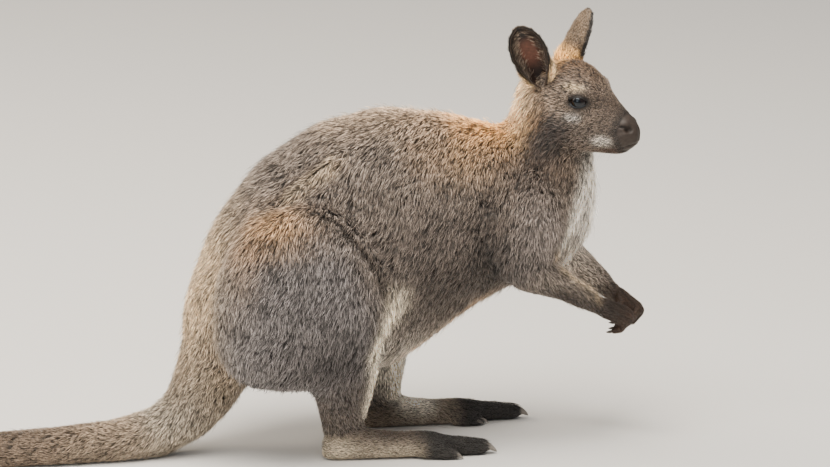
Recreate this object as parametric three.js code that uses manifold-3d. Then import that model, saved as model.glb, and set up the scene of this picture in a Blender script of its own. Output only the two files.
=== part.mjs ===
// A red-necked wallaby at life size, crouched on its hind feet and tail, its forepaws held in front of it.
// Millimetres, +X forward (the way the trunk faces), +Y the animal's left, +Z up, the floor at Z = 0.
// Every outline is the outline of the coat, out to the tips of the fur.
import * as THREE from "three";
import { mergeVertices } from "three/addons/utils/BufferGeometryUtils.js";
import Module from "manifold-3d";

const wasm = await Module();
wasm.setup();

// ---- Driving dimensions -------------------------------------------------------------------------

const GAP = 0.3; // clearance between neighbouring pieces
const SOLE_SINK = 2; // how far a sole's round underside reaches below the floor before it is cut flat
const FOOT_SPLAY = { right: 2.5, left: 0.5 }; // degrees that each foot turns out
const FOOT_SIDE = 60; // heel to the median plane
const HEEL_REAR = -107; // rear of the right heel
const STRIDE = 66; // the left foot stands this far ahead of the right one
const TAIL_CUTS = [-315, -560]; // where the tail is divided into three lengths
const NECK_CUT = { at: [176, 332], lean: 40 }; // where trunk and neck part, and the lean in degrees
const HEAD_AT = new THREE.Vector3(221.5, -37, 429); // midway between the eyes
const HEAD_TURN = -35; // degrees about the vertical: the nose points ahead and to the animal's right
const EYE = { radius: 10.5, side: 25.5 };
const EAR_LENGTH = 76;

// How many sides a section has.
const SIDES = {
  body: 22,
  head: 20,
  thigh: 16,
  limb: 12,
  ear: 12,
  palm: 8,
  sole: 8,
  toe: 6,
  digit: 5,
  claw: 5,
};

// ---- Colours ------------------------------------------------------------------------------------

const fur = (colour) => new THREE.MeshStandardMaterial({ color: colour, roughness: 0.95, metalness: 0 });
const GREY_BROWN_FUR = 0x7d6c5b;
const WARM_FUR = 0x8f7450;
const PALE_FUR = 0xb3a38c;
const DARK_SKIN = 0x352b25;
const EYE_DARK = 0x15110f;
const CLAW_HORN = 0x8d857b;

// ---- Solids -------------------------------------------------------------------------------------

/** A manifold solid from a closed geometry, with the vertices that share a place merged. */
function solid(geometry) {
  const bare = new THREE.BufferGeometry();
  bare.setAttribute("position", geometry.getAttribute("position"));
  bare.setIndex(geometry.getIndex());
  const merged = mergeVertices(bare, 1e-4);
  const triVerts = new Uint32Array(merged.index.array);
  return new wasm.Manifold(
    new wasm.Mesh({ numProp: 3, vertProperties: merged.attributes.position.array, triVerts }),
  );
}

/** The largest body of a solid, without the slivers that a cut can leave. */
function largest(cut) {
  return cut.decompose().sort((a, b) => b.volume() - a.volume())[0];
}

/** A solid without its neighbours, which already carry their clearance. */
function without(whole, neighbours) {
  return largest(neighbours.reduce((rest, neighbour) => rest.subtract(neighbour), whole));
}

/** A big block whose face passes through a point, with everything on the side that normal points to. */
function halfSpace(point, normal, clearance = 0) {
  const size = 3000;
  const block = new THREE.BoxGeometry(size, size, size);
  const out = new THREE.Vector3(...normal).normalize();
  block.applyQuaternion(new THREE.Quaternion().setFromUnitVectors(new THREE.Vector3(1, 0, 0), out));
  const centre = new THREE.Vector3(...point).addScaledVector(out, size / 2 + clearance);
  return solid(block.translate(...centre));
}

const ABOVE_FLOOR = halfSpace([0, 0, 0], [0, 0, 1]);

/** A named mesh from a solid. */
function piece(name, made, colour) {
  const { numProp, vertProperties, triVerts } = made.getMesh();
  const positions = new Float32Array((vertProperties.length / numProp) * 3);
  for (let i = 0; i * numProp < vertProperties.length; i++)
    positions.set(vertProperties.subarray(i * numProp, i * numProp + 3), i * 3);
  const geometry = new THREE.BufferGeometry();
  geometry.setAttribute("position", new THREE.BufferAttribute(positions, 3));
  geometry.setIndex(new THREE.BufferAttribute(triVerts, 1));
  geometry.computeVertexNormals();
  const mesh = new THREE.Mesh(geometry, fur(colour));
  mesh.name = name;
  return mesh;
}

// ---- Lofts --------------------------------------------------------------------------------------

/**
 * A closed skin through a few oval sections. A section has its centre, the direction of its upper side,
 * its half width and its half heights above and below the centre. grow thickens the whole loft, rounds is
 * how many rings round off an end and ends how far each end bulges.
 */
function loft(sections, { sides, grow = 0, rounds = 1, ends = [1, 1] }) {
  const centres = new THREE.CatmullRomCurve3(sections.map((s) => s.centre));
  const ups = new THREE.CatmullRomCurve3(sections.map((s) => s.up));
  const sizes = new THREE.CatmullRomCurve3(sections.map((s) => new THREE.Vector3(s.half, s.above, s.below)));
  const points = [];
  const addRing = (t, slide, scale) => {
    const along = centres.getTangent(t);
    const up = ups.getPoint(t).normalize();
    const across = new THREE.Vector3().crossVectors(up, along).normalize();
    const centre = centres.getPoint(t).addScaledVector(along, slide);
    const size = sizes.getPoint(t).addScalar(grow).multiplyScalar(scale);
    for (let i = 0; i < sides; i++) {
      const turn = (2 * Math.PI * (i + 0.5)) / sides;
      const height = Math.sin(turn) > 0 ? size.y : size.z;
      const point = centre.clone().addScaledVector(across, size.x * Math.cos(turn));
      points.push(point.addScaledVector(up, height * Math.sin(turn)));
    }
  };
  const bulge = (t, share) => share * (Math.min(...sizes.getPoint(t).toArray()) + grow);
  const turns = Array.from({ length: rounds }, (_, i) => ((i + 1) * Math.PI) / (2 * rounds + 2));
  for (const turn of turns.toReversed()) addRing(0, -bulge(0, ends[0]) * Math.sin(turn), Math.cos(turn));
  const count = sections.length - 1;
  for (let i = 0; i <= count; i++) addRing(i / count, 0, 1);
  for (const turn of turns) addRing(1, bulge(1, ends[1]) * Math.sin(turn), Math.cos(turn));
  const rings = points.length / sides;
  const pole = (t, slide) => centres.getPoint(t).addScaledVector(centres.getTangent(t), slide);
  const first = points.push(pole(0, -bulge(0, ends[0]))) - 1;
  const last = points.push(pole(1, bulge(1, ends[1]))) - 1;
  const faces = [];
  for (let i = 0; i < sides; i++) {
    const j = (i + 1) % sides;
    for (let ring = 0; ring + 1 < rings; ring++) {
      const here = ring * sides;
      const next = here + sides;
      faces.push(here + i, here + j, next + j, here + i, next + j, next + i);
    }
    const end = (rings - 1) * sides;
    faces.push(first, j, i, last, end + i, end + j);
  }
  const geometry = new THREE.BufferGeometry().setFromPoints(points);
  geometry.setIndex(faces);
  return solid(geometry);
}

/** A section of the trunk, neck or head, from a point of its under line to one of its upper line. */
function slice({ top, bottom, half, belt = 0.5, side = 0 }) {
  const low = new THREE.Vector3(bottom[0], side, bottom[1]);
  const high = new THREE.Vector3(top[0], side, top[1]);
  const height = low.distanceTo(high);
  const up = high.clone().sub(low).normalize();
  return { centre: low.lerp(high, belt), up, half, above: (1 - belt) * height, below: belt * height };
}

/** A level section of a leg or arm, from its rear edge to its front edge. */
function level({ z, rear, front, half, side }) {
  const deep = (front - rear) / 2;
  const centre = new THREE.Vector3((rear + front) / 2, side, z);
  return { centre, up: new THREE.Vector3(1, 0, 0), half, above: deep, below: deep };
}

/** Round sections along a line of [x, y, z, radius] points. flat is the depth over the width. */
function beads(points, up = [0, 0, 1], flat = 1) {
  return points.map(([x, y, z, radius]) => ({
    centre: new THREE.Vector3(x, y, z),
    up: new THREE.Vector3(...up),
    half: radius,
    above: radius * flat,
    below: radius * flat,
  }));
}

/** An ellipsoid of these three radii about a centre. */
function ellipsoid(centre, radii, [around, down]) {
  return solid(new THREE.SphereGeometry(1, around, down).scale(...radii).translate(...centre));
}

// ---- Trunk and neck -----------------------------------------------------------------------------

// From the rump over the loin and the shoulders to the throat, where the neck turns with the head.
const BODY = [
  { top: [-260, 130], bottom: [-204, 104], half: 30 },
  { top: [-268, 160], bottom: [-178, 92], half: 54 },
  { top: [-257, 208], bottom: [-140, 92], half: 74 },
  { top: [-227, 284], bottom: [-98, 94], half: 88 },
  { top: [-173, 356], bottom: [-56, 90], half: 95 },
  { top: [-100, 403], bottom: [-13, 95], half: 97 },
  { top: [-18, 420], bottom: [30, 124], half: 96 },
  { top: [58, 409], bottom: [76, 160], half: 89 },
  { top: [108, 394], bottom: [128, 188], half: 76 },
  { top: [125, 389], bottom: [194, 204], half: 62, belt: 0.45 },
  { top: [127, 390], bottom: [235, 250], half: 53 },
  { top: [131, 400], bottom: [241, 304], half: 46, side: -2 },
  { top: [139, 422], bottom: [238, 346], half: 40, side: -8 },
  { top: [146, 442], bottom: [226, 382], half: 32, side: -16 },
];

const body = (grow) => loft(BODY.map(slice), { sides: SIDES.body, grow });
const neckLean = THREE.MathUtils.degToRad(NECK_CUT.lean);
const neckPoint = [NECK_CUT.at[0], 0, NECK_CUT.at[1]];
const towardsHead = [Math.sin(neckLean), 0, Math.cos(neckLean)];
const towardsTail = towardsHead.map((x) => -x);

// ---- Tail ---------------------------------------------------------------------------------------

// The spine of the tail from inside the rump to its tip, each point with the tail's radius there.
const TAIL = [
  [-206, 0, 150, 52],
  [-226, 0, 106, 47],
  [-243, -1, 72, 41.5],
  [-267, -4, 44.5, 35.5],
  [-304, -10, 29.5, 29.5],
  [-350, -16, 24.5, 25],
  [-410, -19, 22.5, 23.5],
  [-490, -18, 20.5, 22],
  [-570, -11, 18, 19.5],
  [-650, 0, 15, 16.5],
  [-730, 12, 12, 13.5],
  [-790, 20, 9.5, 10.5],
];
const TAIL_NAMES = ["tail_root", "tail_middle", "tail_tip"];

const tail = loft(beads(TAIL, [0, 1, 0]), { sides: SIDES.limb, ends: [0.4, 1.8] }).intersect(ABOVE_FLOOR);

/** One length of the tail, between the cut ahead of it and the cut behind it. */
function tailLength(number) {
  const cuts = [];
  if (number > 0) cuts.push(halfSpace([TAIL_CUTS[number - 1], 0, 0], [1, 0, 0], -GAP / 2));
  if (number < TAIL_CUTS.length) cuts.push(halfSpace([TAIL_CUTS[number], 0, 0], [-1, 0, 0], -GAP / 2));
  return without(tail, cuts);
}

// ---- Hind legs ----------------------------------------------------------------------------------

// Level sections of the right leg. share is how much of the stride the left leg's section has moved ahead.
const THIGH = [
  { z: 316, rear: -156, front: -98, half: 22, side: 60, share: 0.1 },
  { z: 296, rear: -196, front: -68, half: 36, side: 63, share: 0.15 },
  { z: 262, rear: -224, front: -40, half: 46, side: 67, share: 0.2 },
  { z: 225, rear: -236, front: -24, half: 50, side: 69, share: 0.3 },
  { z: 188, rear: -240, front: -18, half: 51, side: 70, share: 0.4 },
  { z: 152, rear: -237, front: -27, half: 49, side: 69, share: 0.5 },
  { z: 122, rear: -228, front: -38, half: 43, side: 67, share: 0.6 },
  { z: 104, rear: -212, front: -50, half: 33, side: 65, share: 0.6 },
];
const SHANK = [
  { z: 150, rear: -124, front: -40, half: 32, side: 71, share: 0.75 },
  { z: 112, rear: -120, front: -40, half: 28, side: 70, share: 0.95 },
  { z: 78, rear: -115, front: -46, half: 23, side: 66, share: 1 },
  { z: 50, rear: -109, front: -53, half: 19, side: 62, share: 1 },
  { z: 28, rear: -104, front: -56, half: 15, side: 60, share: 1 },
];

// Sections of the foot at a distance from its rear end.
const SOLE = [
  { x: 13, height: 36, half: 14 },
  { x: 34, height: 42, half: 17 },
  { x: 62, height: 36, half: 17.5 },
  { x: 95, height: 31, half: 18 },
  { x: 122, height: 31, half: 20 },
  { x: 140, height: 29, half: 19 },
];
// Toes lie to the outer side of the foot's line or, where negative, to its inner side.
const TOES = {
  fourth: { from: 126, to: 193, side: 1, out: 2, half: [13, 11.5], height: [30, 21], claw: 21 },
  fifth: { from: 122, to: 154, side: 13, out: 7, half: [9.5, 8], height: [22, 15], claw: 17 },
  third: { from: 122, to: 150, side: -12, out: -4, half: [7, 4.6], height: [19, 12], claw: 9 },
  second: { from: 118, to: 144, side: -16, out: -5, half: [6.5, 4.6], height: [17, 11], claw: 8 },
};

/** A section that stands on the floor, its sole a little below it, in the foot's own frame. */
function standing(x, side, half, height) {
  const deep = (height + SOLE_SINK) / 2;
  const centre = new THREE.Vector3(x, side, height - deep);
  return { centre, up: new THREE.Vector3(0, 0, 1), half, above: deep, below: deep };
}

/** A claw along a line of [x, y, z] points, thickest near its root and pointed at its tip. */
function claw(line, radius, grow) {
  const thickness = [0.85, 1, 0.72, 0.25];
  const points = line.map((point, i) => [...point, radius * thickness[i]]);
  return loft(beads(points, [0, 1, 0]), { sides: SIDES.claw, grow, rounds: 0, ends: [0.3, 1] });
}

/** The claw of a toe, level at first and curving down to the floor. */
function toeClaw({ to, side, out, half, height, claw: length }, outer, grow) {
  const line = [-0.35, 0.1, 0.6, 1].map((share) => [
    to + 0.45 * half[1] + share * length,
    outer * (side + out * (1 + (share * length) / 60)),
    height[1] * 0.55 - 0.36 * length * Math.max(share, 0) ** 2,
  ]);
  return claw(line, half[1] * 0.54, grow);
}

/** A foot without its claws in its own frame: its rear at the origin, its toes towards +X. */
function foot(outer, grow) {
  const sole = SOLE.map(({ x, half, height }) => standing(x, 0, half, height));
  return Object.values(TOES)
    .map(({ from, to, side, out, half, height }) => [
      standing(from, outer * side, half[0], height[0]),
      standing(to, outer * (side + out), half[1], height[1]),
    ])
    .map((sections) => loft(sections, { sides: SIDES.toe, grow }))
    .reduce((all, toe) => all.add(toe), loft(sole, { sides: SIDES.sole, grow }))
    .intersect(ABOVE_FLOOR);
}

// ---- Forelegs -----------------------------------------------------------------------------------

// The upper arm in level sections, the forearm as beads from the elbow to the wrist, and the paw's place.
const ARMS = {
  right: {
    outer: -1,
    upper: [
      { z: 330, rear: 122, front: 166, half: 17, side: 44 },
      { z: 305, rear: 110, front: 184, half: 26, side: 50 },
      { z: 272, rear: 103, front: 192, half: 30, side: 55 },
      { z: 240, rear: 101, front: 186, half: 29, side: 57 },
      { z: 222, rear: 107, front: 166, half: 26, side: 58 },
    ],
    fore: [
      [134, -58, 226, 26.5],
      [160, -57, 217, 25.5],
      [187, -55, 205, 21.5],
      [212, -51, 188, 17],
      [236, -46, 171, 13],
    ],
    paw: { at: [235, -46.5, 172], roll: 38, dip: 25, turn: 8 },
  },
  left: {
    outer: 1,
    upper: [
      { z: 330, rear: 128, front: 174, half: 17, side: 42 },
      { z: 305, rear: 120, front: 196, half: 25, side: 47 },
      { z: 275, rear: 122, front: 210, half: 27, side: 51 },
      { z: 250, rear: 132, front: 212, half: 26, side: 53 },
      { z: 234, rear: 144, front: 204, half: 23, side: 54 },
    ],
    fore: [
      [180, 55, 240, 27],
      [204, 50, 225, 26],
      [228, 42, 205, 23.5],
      [250, 33, 186, 19],
      [268, 26, 170, 14.5],
    ],
    paw: { at: [266, 26.5, 170], roll: -38, dip: 36, turn: -25 },
  },
};

const PALM = [
  [-6, 0, 0, 11],
  [12, 0, 0, 14],
  [40, 0, -1, 15],
];
const PALM_FLAT = 0.72; // thickness of the palm over its width
// The digits of a forepaw: where each leaves the palm, its length and how it slants outwards on its way down.
const DIGITS = {
  first: { root: [19, -12, -5], length: 14, slant: -0.25 },
  second: { root: [38, -10.5, -2], length: 18, slant: -0.14 },
  third: { root: [42, -3.6, -1], length: 19, slant: -0.04 },
  fourth: { root: [41, 3.6, -1], length: 18.5, slant: 0.06 },
  fifth: { root: [36, 10.5, -2], length: 16, slant: 0.16 },
};
const DIGIT_RADIUS = 5.4;
// How a bent digit runs, ahead of its root and above it, as shares of its length, and its thickness there.
const BEND = [
  { ahead: -0.3, above: 0, thick: 0.8 },
  { ahead: 0.14, above: -0.1, thick: 1 },
  { ahead: 0.2, above: -0.62, thick: 1 },
  { ahead: -0.15, above: -0.97, thick: 0.85 },
];
const PAW_CLAW = { length: 9, radius: 2.2 };

/** The line of a bent digit in the paw's frame. */
function digitLine({ root, length, slant }, outer) {
  return BEND.map(({ ahead, above, thick }) => [
    root[0] + ahead * length,
    outer * (root[1] - slant * above * length),
    root[2] + above * length,
    DIGIT_RADIUS * thick,
  ]);
}

/** The claw of a digit, which goes on where the digit ends. */
function digitClaw(digit, outer, grow) {
  const [before, tip] = digitLine(digit, outer).slice(-2).map(([x, y, z]) => new THREE.Vector3(x, y, z));
  const aim = tip.clone().sub(before).normalize();
  const line = [-0.1, 0.35, 0.7, 1].map((share) => {
    const point = tip.clone().addScaledVector(aim, 2 + share * PAW_CLAW.length);
    return [point.x - 2.5 * share ** 2, point.y, point.z];
  });
  return claw(line, PAW_CLAW.radius, grow);
}

/** A forepaw without its claws in its own frame: the wrist at the origin, the knuckles towards +X. */
function paw(outer, grow) {
  const palm = loft(beads(PALM, [0, 0, 1], PALM_FLAT), { sides: SIDES.palm, grow });
  return Object.values(DIGITS)
    .map((digit) => loft(beads(digitLine(digit, outer), [0, 1, 0]), { sides: SIDES.digit, grow }))
    .reduce((all, part) => all.add(part), palm);
}

// ---- Head ---------------------------------------------------------------------------------------

// Sections across the head in its own frame: the origin is midway between the eyes, the nose towards +X.
const HEAD = [
  { x: -70, top: 20, bottom: -38, half: 24, belt: 0.5 },
  { x: -58, top: 32, bottom: -52, half: 33, belt: 0.47 },
  { x: -40, top: 41, bottom: -62, half: 38, belt: 0.45 },
  { x: -20, top: 45.5, bottom: -66, half: 38.5, belt: 0.43 },
  { x: 0, top: 43, bottom: -67, half: 35, belt: 0.42 },
  { x: 14, top: 31, bottom: -67, half: 30, belt: 0.43 },
  { x: 26, top: 15, bottom: -67, half: 26, belt: 0.45 },
  { x: 38, top: -1, bottom: -66, half: 22.5, belt: 0.48 },
  { x: 49, top: -12, bottom: -64, half: 19.5, belt: 0.52 },
  { x: 57.5, top: -18, bottom: -60, half: 17, belt: 0.55 },
  { x: 63.5, top: -25, bottom: -54, half: 11.5, belt: 0.55 },
];
// The brows, which stand out from the plain head.
const BROW = { at: [6, 20, 13.5], radii: [17, 10, 12] };
const EARS = {
  right: { base: [-49, -26, 19.5], aim: [-0.24, -0.36, 0.9], opening: [0.35, -0.93, 0] },
  left: { base: [-38, 25, 25], aim: [0.29, 0.22, 0.94], opening: [0.7, 0.72, 0] },
};
// Along the ear from its base: half its width, and the depth of the cup behind the rim.
const EAR = [
  { at: -0.12, half: 11, deep: 12 },
  { at: 0.05, half: 13.5, deep: 14 },
  { at: 0.25, half: 19, deep: 15 },
  { at: 0.5, half: 22.5, deep: 12.5 },
  { at: 0.72, half: 20.5, deep: 9 },
  { at: 0.88, half: 14.5, deep: 5.5 },
  { at: 0.965, half: 7.5, deep: 3 },
];
const EAR_WALL = 2.6;
const EAR_RIM = 2.5; // how far the rim stands ahead of the line through the ear's widest places
const EAR_MOUTH = 30; // how far ahead the hollow is cut
const HOLLOW_FROM = 2; // the first section of the hollow

/** An ear in its own frame: its base at the origin, its tip towards +Z and its opening towards +X. */
function ear() {
  const section = (thin, ahead) => ({ at, half, deep }) => ({
    centre: new THREE.Vector3(0, 0, at * EAR_LENGTH),
    up: new THREE.Vector3(1, 0, 0),
    half: Math.max(half - thin, 1),
    above: ahead,
    below: Math.max(deep - thin, 0.8),
  });
  const cup = loft(EAR.map(section(0, EAR_RIM)), { sides: SIDES.ear, ends: [1, 0.6] });
  const hollow = EAR.slice(HOLLOW_FROM).map(section(EAR_WALL, EAR_MOUTH));
  return cup.subtract(loft(hollow, { sides: SIDES.ear, ends: [1, 0.3] }));
}

/** The head without its ears and eyes, in its own frame. */
function headShape(grow) {
  const upright = ({ x, top, bottom, ...rest }) => slice({ top: [x, top], bottom: [x, bottom], ...rest });
  const [x, y, z] = BROW.at;
  const radii = BROW.radii.map((radius) => radius + grow);
  return loft(HEAD.map(upright), { sides: SIDES.head, grow, ends: [1, 0.5] })
    .add(ellipsoid([x, y, z], radii, [10, 6]))
    .add(ellipsoid([x, -y, z], radii, [10, 6]));
}

const ball = (centre, radius) => ellipsoid(centre, [radius, radius, radius], [12, 7]);

// ---- Putting it together ------------------------------------------------------------------------

const degrees = THREE.MathUtils.degToRad;
const wallaby = new THREE.Group();
const bodySeat = body(GAP);

/** A solid of the parent's frame, as it lies in the frame of an object placed in that parent. */
function seenFrom(object, made) {
  object.updateMatrix();
  return made.transform(object.matrix.clone().invert().toArray());
}

/** Adds named claws to a group and returns their grown copies, for cutting their seats. */
function addClaws(group, name, items, make, outer) {
  return Object.entries(items).map(([digit, item]) => {
    group.add(piece(`claw_${name}_${digit}`, make(item, outer, 0), CLAW_HORN));
    return make(item, outer, GAP);
  });
}

// The trunk and the neck.
const trunk = body(0).subtract(halfSpace(neckPoint, towardsHead, -GAP / 2));
const neck = body(0).subtract(halfSpace(neckPoint, towardsTail, -GAP / 2));
wallaby.add(piece("trunk", trunk, GREY_BROWN_FUR), piece("neck", neck, WARM_FUR));

// The head turns about the midpoint of the eyes and carries the ears and the eyes.
const headGroup = new THREE.Group();
headGroup.position.copy(HEAD_AT);
headGroup.rotation.z = degrees(HEAD_TURN);
const neckSeat = seenFrom(headGroup, bodySeat);
const eyeSeats = [];
for (const [side, { base, aim, opening }] of Object.entries(EARS)) {
  const axis = new THREE.Vector3(...aim).normalize();
  const front = new THREE.Vector3(...opening).projectOnPlane(axis).normalize();
  const across = new THREE.Vector3().crossVectors(axis, front);
  const earMesh = new THREE.Group();
  earMesh.position.set(...base);
  earMesh.quaternion.setFromRotationMatrix(new THREE.Matrix4().makeBasis(front, across, axis));
  const earCuts = [headShape(GAP), neckSeat].map((seat) => seenFrom(earMesh, seat));
  earMesh.add(piece(`ear_${side}`, without(ear(), earCuts), WARM_FUR));
  const eyeAt = [0, side === "left" ? EYE.side : -EYE.side, 0];
  const eye = piece(`eye_${side}`, ball([0, 0, 0], EYE.radius), EYE_DARK);
  eye.position.set(...eyeAt);
  eyeSeats.push(ball(eyeAt, EYE.radius + GAP));
  headGroup.add(earMesh, eye);
}
headGroup.add(piece("head", without(headShape(0), [neckSeat, ...eyeSeats]), GREY_BROWN_FUR));
wallaby.add(headGroup);

// The legs.
const thighSeats = [];
for (const [side, outer, stride] of [["right", -1, 0], ["left", 1, STRIDE]]) {
  const place = ({ z, rear, front, half, side: out, share }) =>
    level({ z, rear: rear + share * stride, front: front + share * stride, half, side: outer * out });
  const thigh = (grow) => loft(THIGH.map(place), { sides: SIDES.thigh, grow, ends: [0.6, 0.45] });
  const shank = loft(SHANK.map(place), { sides: SIDES.limb, ends: [0.8, 0.3] });
  const footGroup = new THREE.Group();
  footGroup.position.set(HEEL_REAR + stride, outer * FOOT_SIDE, 0);
  footGroup.rotation.z = degrees(outer * FOOT_SPLAY[side]);
  footGroup.updateMatrix();
  const footSeat = foot(outer, GAP).transform(footGroup.matrix.toArray());
  const clawSeats = addClaws(footGroup, `${side}_foot`, TOES, toeClaw, outer);
  footGroup.add(piece(`foot_${side}`, without(foot(outer, 0), clawSeats), PALE_FUR));
  wallaby.add(footGroup);
  thighSeats.push(thigh(GAP));
  wallaby.add(piece(`thigh_${side}`, without(thigh(0), [bodySeat]), GREY_BROWN_FUR));
  wallaby.add(piece(`shank_${side}`, without(shank, [bodySeat, thigh(GAP), footSeat]), GREY_BROWN_FUR));
}

// The arms.
for (const [side, { outer, upper, fore, paw: hold }] of Object.entries(ARMS)) {
  const upperLevels = upper.map((section) => level({ ...section, side: outer * section.side }));
  const upperArm = (grow) => loft(upperLevels, { sides: SIDES.limb, grow, ends: [0.8, 0.6] });
  const forearm = (grow) => loft(beads(fore), { sides: SIDES.limb, grow, ends: [0.6, 0.4] });
  wallaby.add(piece(`upper_arm_${side}`, without(upperArm(0), [bodySeat]), GREY_BROWN_FUR));
  wallaby.add(piece(`forearm_${side}`, without(forearm(0), [bodySeat, upperArm(GAP)]), GREY_BROWN_FUR));
  const pawGroup = new THREE.Group();
  pawGroup.position.set(...hold.at);
  pawGroup.rotation.set(degrees(hold.roll), degrees(hold.dip), degrees(hold.turn), "ZYX");
  const clawSeats = addClaws(pawGroup, `${side}_paw`, DIGITS, digitClaw, outer);
  const pawCuts = [seenFrom(pawGroup, forearm(GAP)), ...clawSeats];
  pawGroup.add(piece(`paw_${side}`, without(paw(outer, 0), pawCuts), DARK_SKIN));
  wallaby.add(pawGroup);
}

// The tail, whose root lies between the thighs.
TAIL_NAMES.forEach((name, number) => {
  const cuts = number === 0 ? [bodySeat, ...thighSeats] : [];
  wallaby.add(piece(name, without(tailLength(number), cuts), GREY_BROWN_FUR));
});

// The model's own frame: the middle of its outline, on the floor.
const bounds = new THREE.Box3().setFromObject(wallaby);
const middle = bounds.getCenter(new THREE.Vector3());
wallaby.position.set(-middle.x, -middle.y, -bounds.min.z);
const part = new THREE.Group();
part.add(wallaby);
export default part;
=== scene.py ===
"""A red-necked wallaby at life size, crouched on its hind feet and tail, its head turned to its right.

One skin covers the animal from its nose to the tip of its tail, with its lids and ears. A coat of small closed
locks of hair lies over it and reaches out to the solids' own outline. Eyes, claws and whiskers are on their own.
Metres, +X ahead, +Y to the animal's left, +Z up, the floor at Z = 0. What is called a place in the head is in
millimetres from the midpoint of the eyes: ahead to the nose, out to the side, and up.
"""

import logging
import math
from dataclasses import dataclass, field
from enum import Enum

import bpy
import numpy as np
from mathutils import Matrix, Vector
from mathutils.bvhtree import BVHTree

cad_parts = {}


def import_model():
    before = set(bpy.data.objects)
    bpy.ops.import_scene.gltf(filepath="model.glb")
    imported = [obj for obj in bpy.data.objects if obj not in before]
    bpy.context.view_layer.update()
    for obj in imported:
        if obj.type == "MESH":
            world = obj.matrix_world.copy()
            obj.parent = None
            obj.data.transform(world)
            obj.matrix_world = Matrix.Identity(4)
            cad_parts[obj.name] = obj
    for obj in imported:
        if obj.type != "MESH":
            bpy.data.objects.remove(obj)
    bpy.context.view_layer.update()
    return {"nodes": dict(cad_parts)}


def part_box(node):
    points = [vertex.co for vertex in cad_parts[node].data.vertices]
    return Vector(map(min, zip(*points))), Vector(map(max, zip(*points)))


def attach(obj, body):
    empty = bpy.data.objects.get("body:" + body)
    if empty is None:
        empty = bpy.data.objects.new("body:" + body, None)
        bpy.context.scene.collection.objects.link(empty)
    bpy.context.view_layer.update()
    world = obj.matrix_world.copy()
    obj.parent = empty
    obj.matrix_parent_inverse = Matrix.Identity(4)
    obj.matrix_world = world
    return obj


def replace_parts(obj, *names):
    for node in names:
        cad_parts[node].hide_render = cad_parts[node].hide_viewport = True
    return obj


Array = np.ndarray
Object = bpy.types.Object
Colour = tuple[float, float, float]

MM = 0.001
UP = np.array([0.0, 0.0, 1.0])
BODY = "root"
COAT_MAP = "OFBake"
SEED = 20
log = logging.getLogger("wallaby")


# ---- Colours and numbers ------------------------------------------------------------------------


def srgb(code: str) -> Colour:
    """Turns an sRGB hex colour to linear.

    Args:
        code: Six hex digits.

    Returns:
        The linear red, green and blue.
    """
    channels = [int(code[i : i + 2], 16) / 255 for i in (0, 2, 4)]
    return tuple(c / 12.92 if c <= 0.04045 else ((c + 0.055) / 1.055) ** 2.4 for c in channels)


def unit(vectors: Array) -> Array:
    """Vectors of length 1."""
    return vectors / np.maximum(np.linalg.norm(vectors, axis=-1, keepdims=True), 1e-12)


def ramp(values: Array, low: float, high: float) -> Array:
    """0 below low and 1 above high, with a soft rise between them; low may be above high."""
    share = np.clip((values - low) / (high - low), 0, 1)
    return share * share * (3 - 2 * share)


def within(places: Array, at: tuple, radii: tuple) -> Array:
    """How far inside a soft ellipsoid each place is, from 1 at its centre to 0 well outside it.

    Args:
        places: Points, one in each row.
        at: The centre.
        radii: The three radii, where the share has fallen to about a third.

    Returns:
        A share for each place.
    """
    reach = np.linalg.norm((places - np.array(at)) / np.array(radii), axis=1)
    return np.exp(-(reach**3))


def distance_to_line(places: Array, line: Array) -> Array:
    """The distance from each place to a line of joined straight pieces.

    Args:
        places: Points, one in each row.
        line: The line's own points.

    Returns:
        A distance for each place.
    """
    nearest = np.full(len(places), np.inf)
    for start, end in zip(line[:-1], line[1:]):
        run = end - start
        share = np.clip((places - start) @ run / (run @ run), 0, 1)
        nearest = np.minimum(nearest, np.linalg.norm(places - start - share[:, None] * run, axis=1))
    return nearest


# ---- Work on objects ----------------------------------------------------------------------------


def choose(*objects: Object) -> None:
    """Leaves object mode's selection as these objects alone, the first of them active."""
    bpy.ops.object.select_all(action="DESELECT")
    for obj in objects:
        obj.select_set(True)
    bpy.context.view_layer.objects.active = objects[0]


def finish_with(obj: Object, kind: str, **settings: object) -> None:
    """Adds a modifier to an object and applies it.

    Args:
        obj: The object.
        kind: The modifier's type.
        settings: The modifier's settings.
    """
    modifier = obj.modifiers.new(kind.title(), kind)
    for name, value in settings.items():
        setattr(modifier, name, value)
    choose(obj)
    bpy.ops.object.modifier_apply(modifier=modifier.name)


def places_of(obj: Object) -> Array:
    """The places of a mesh's vertices, one in each row."""
    places = np.empty(len(obj.data.vertices) * 3)
    obj.data.vertices.foreach_get("co", places)
    return places.reshape(-1, 3)


def set_places(obj: Object, places: Array) -> None:
    """Moves a mesh's vertices to these places."""
    obj.data.vertices.foreach_set("co", np.asarray(places, float).ravel())
    obj.data.update()


def write_attribute(obj: Object, name: str, kind: str, values: Array) -> None:
    """Stores a value for each vertex.

    Args:
        obj: The mesh's object.
        name: The attribute's name.
        kind: FLOAT or FLOAT_COLOR.
        values: A number or a colour for each vertex.
    """
    if kind == "FLOAT_COLOR":
        values = np.column_stack([values, np.ones(len(values))])
    attribute = obj.data.attributes.get(name) or obj.data.attributes.new(name, kind, "POINT")
    attribute.data.foreach_set("color" if kind == "FLOAT_COLOR" else "value", values.ravel())


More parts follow.
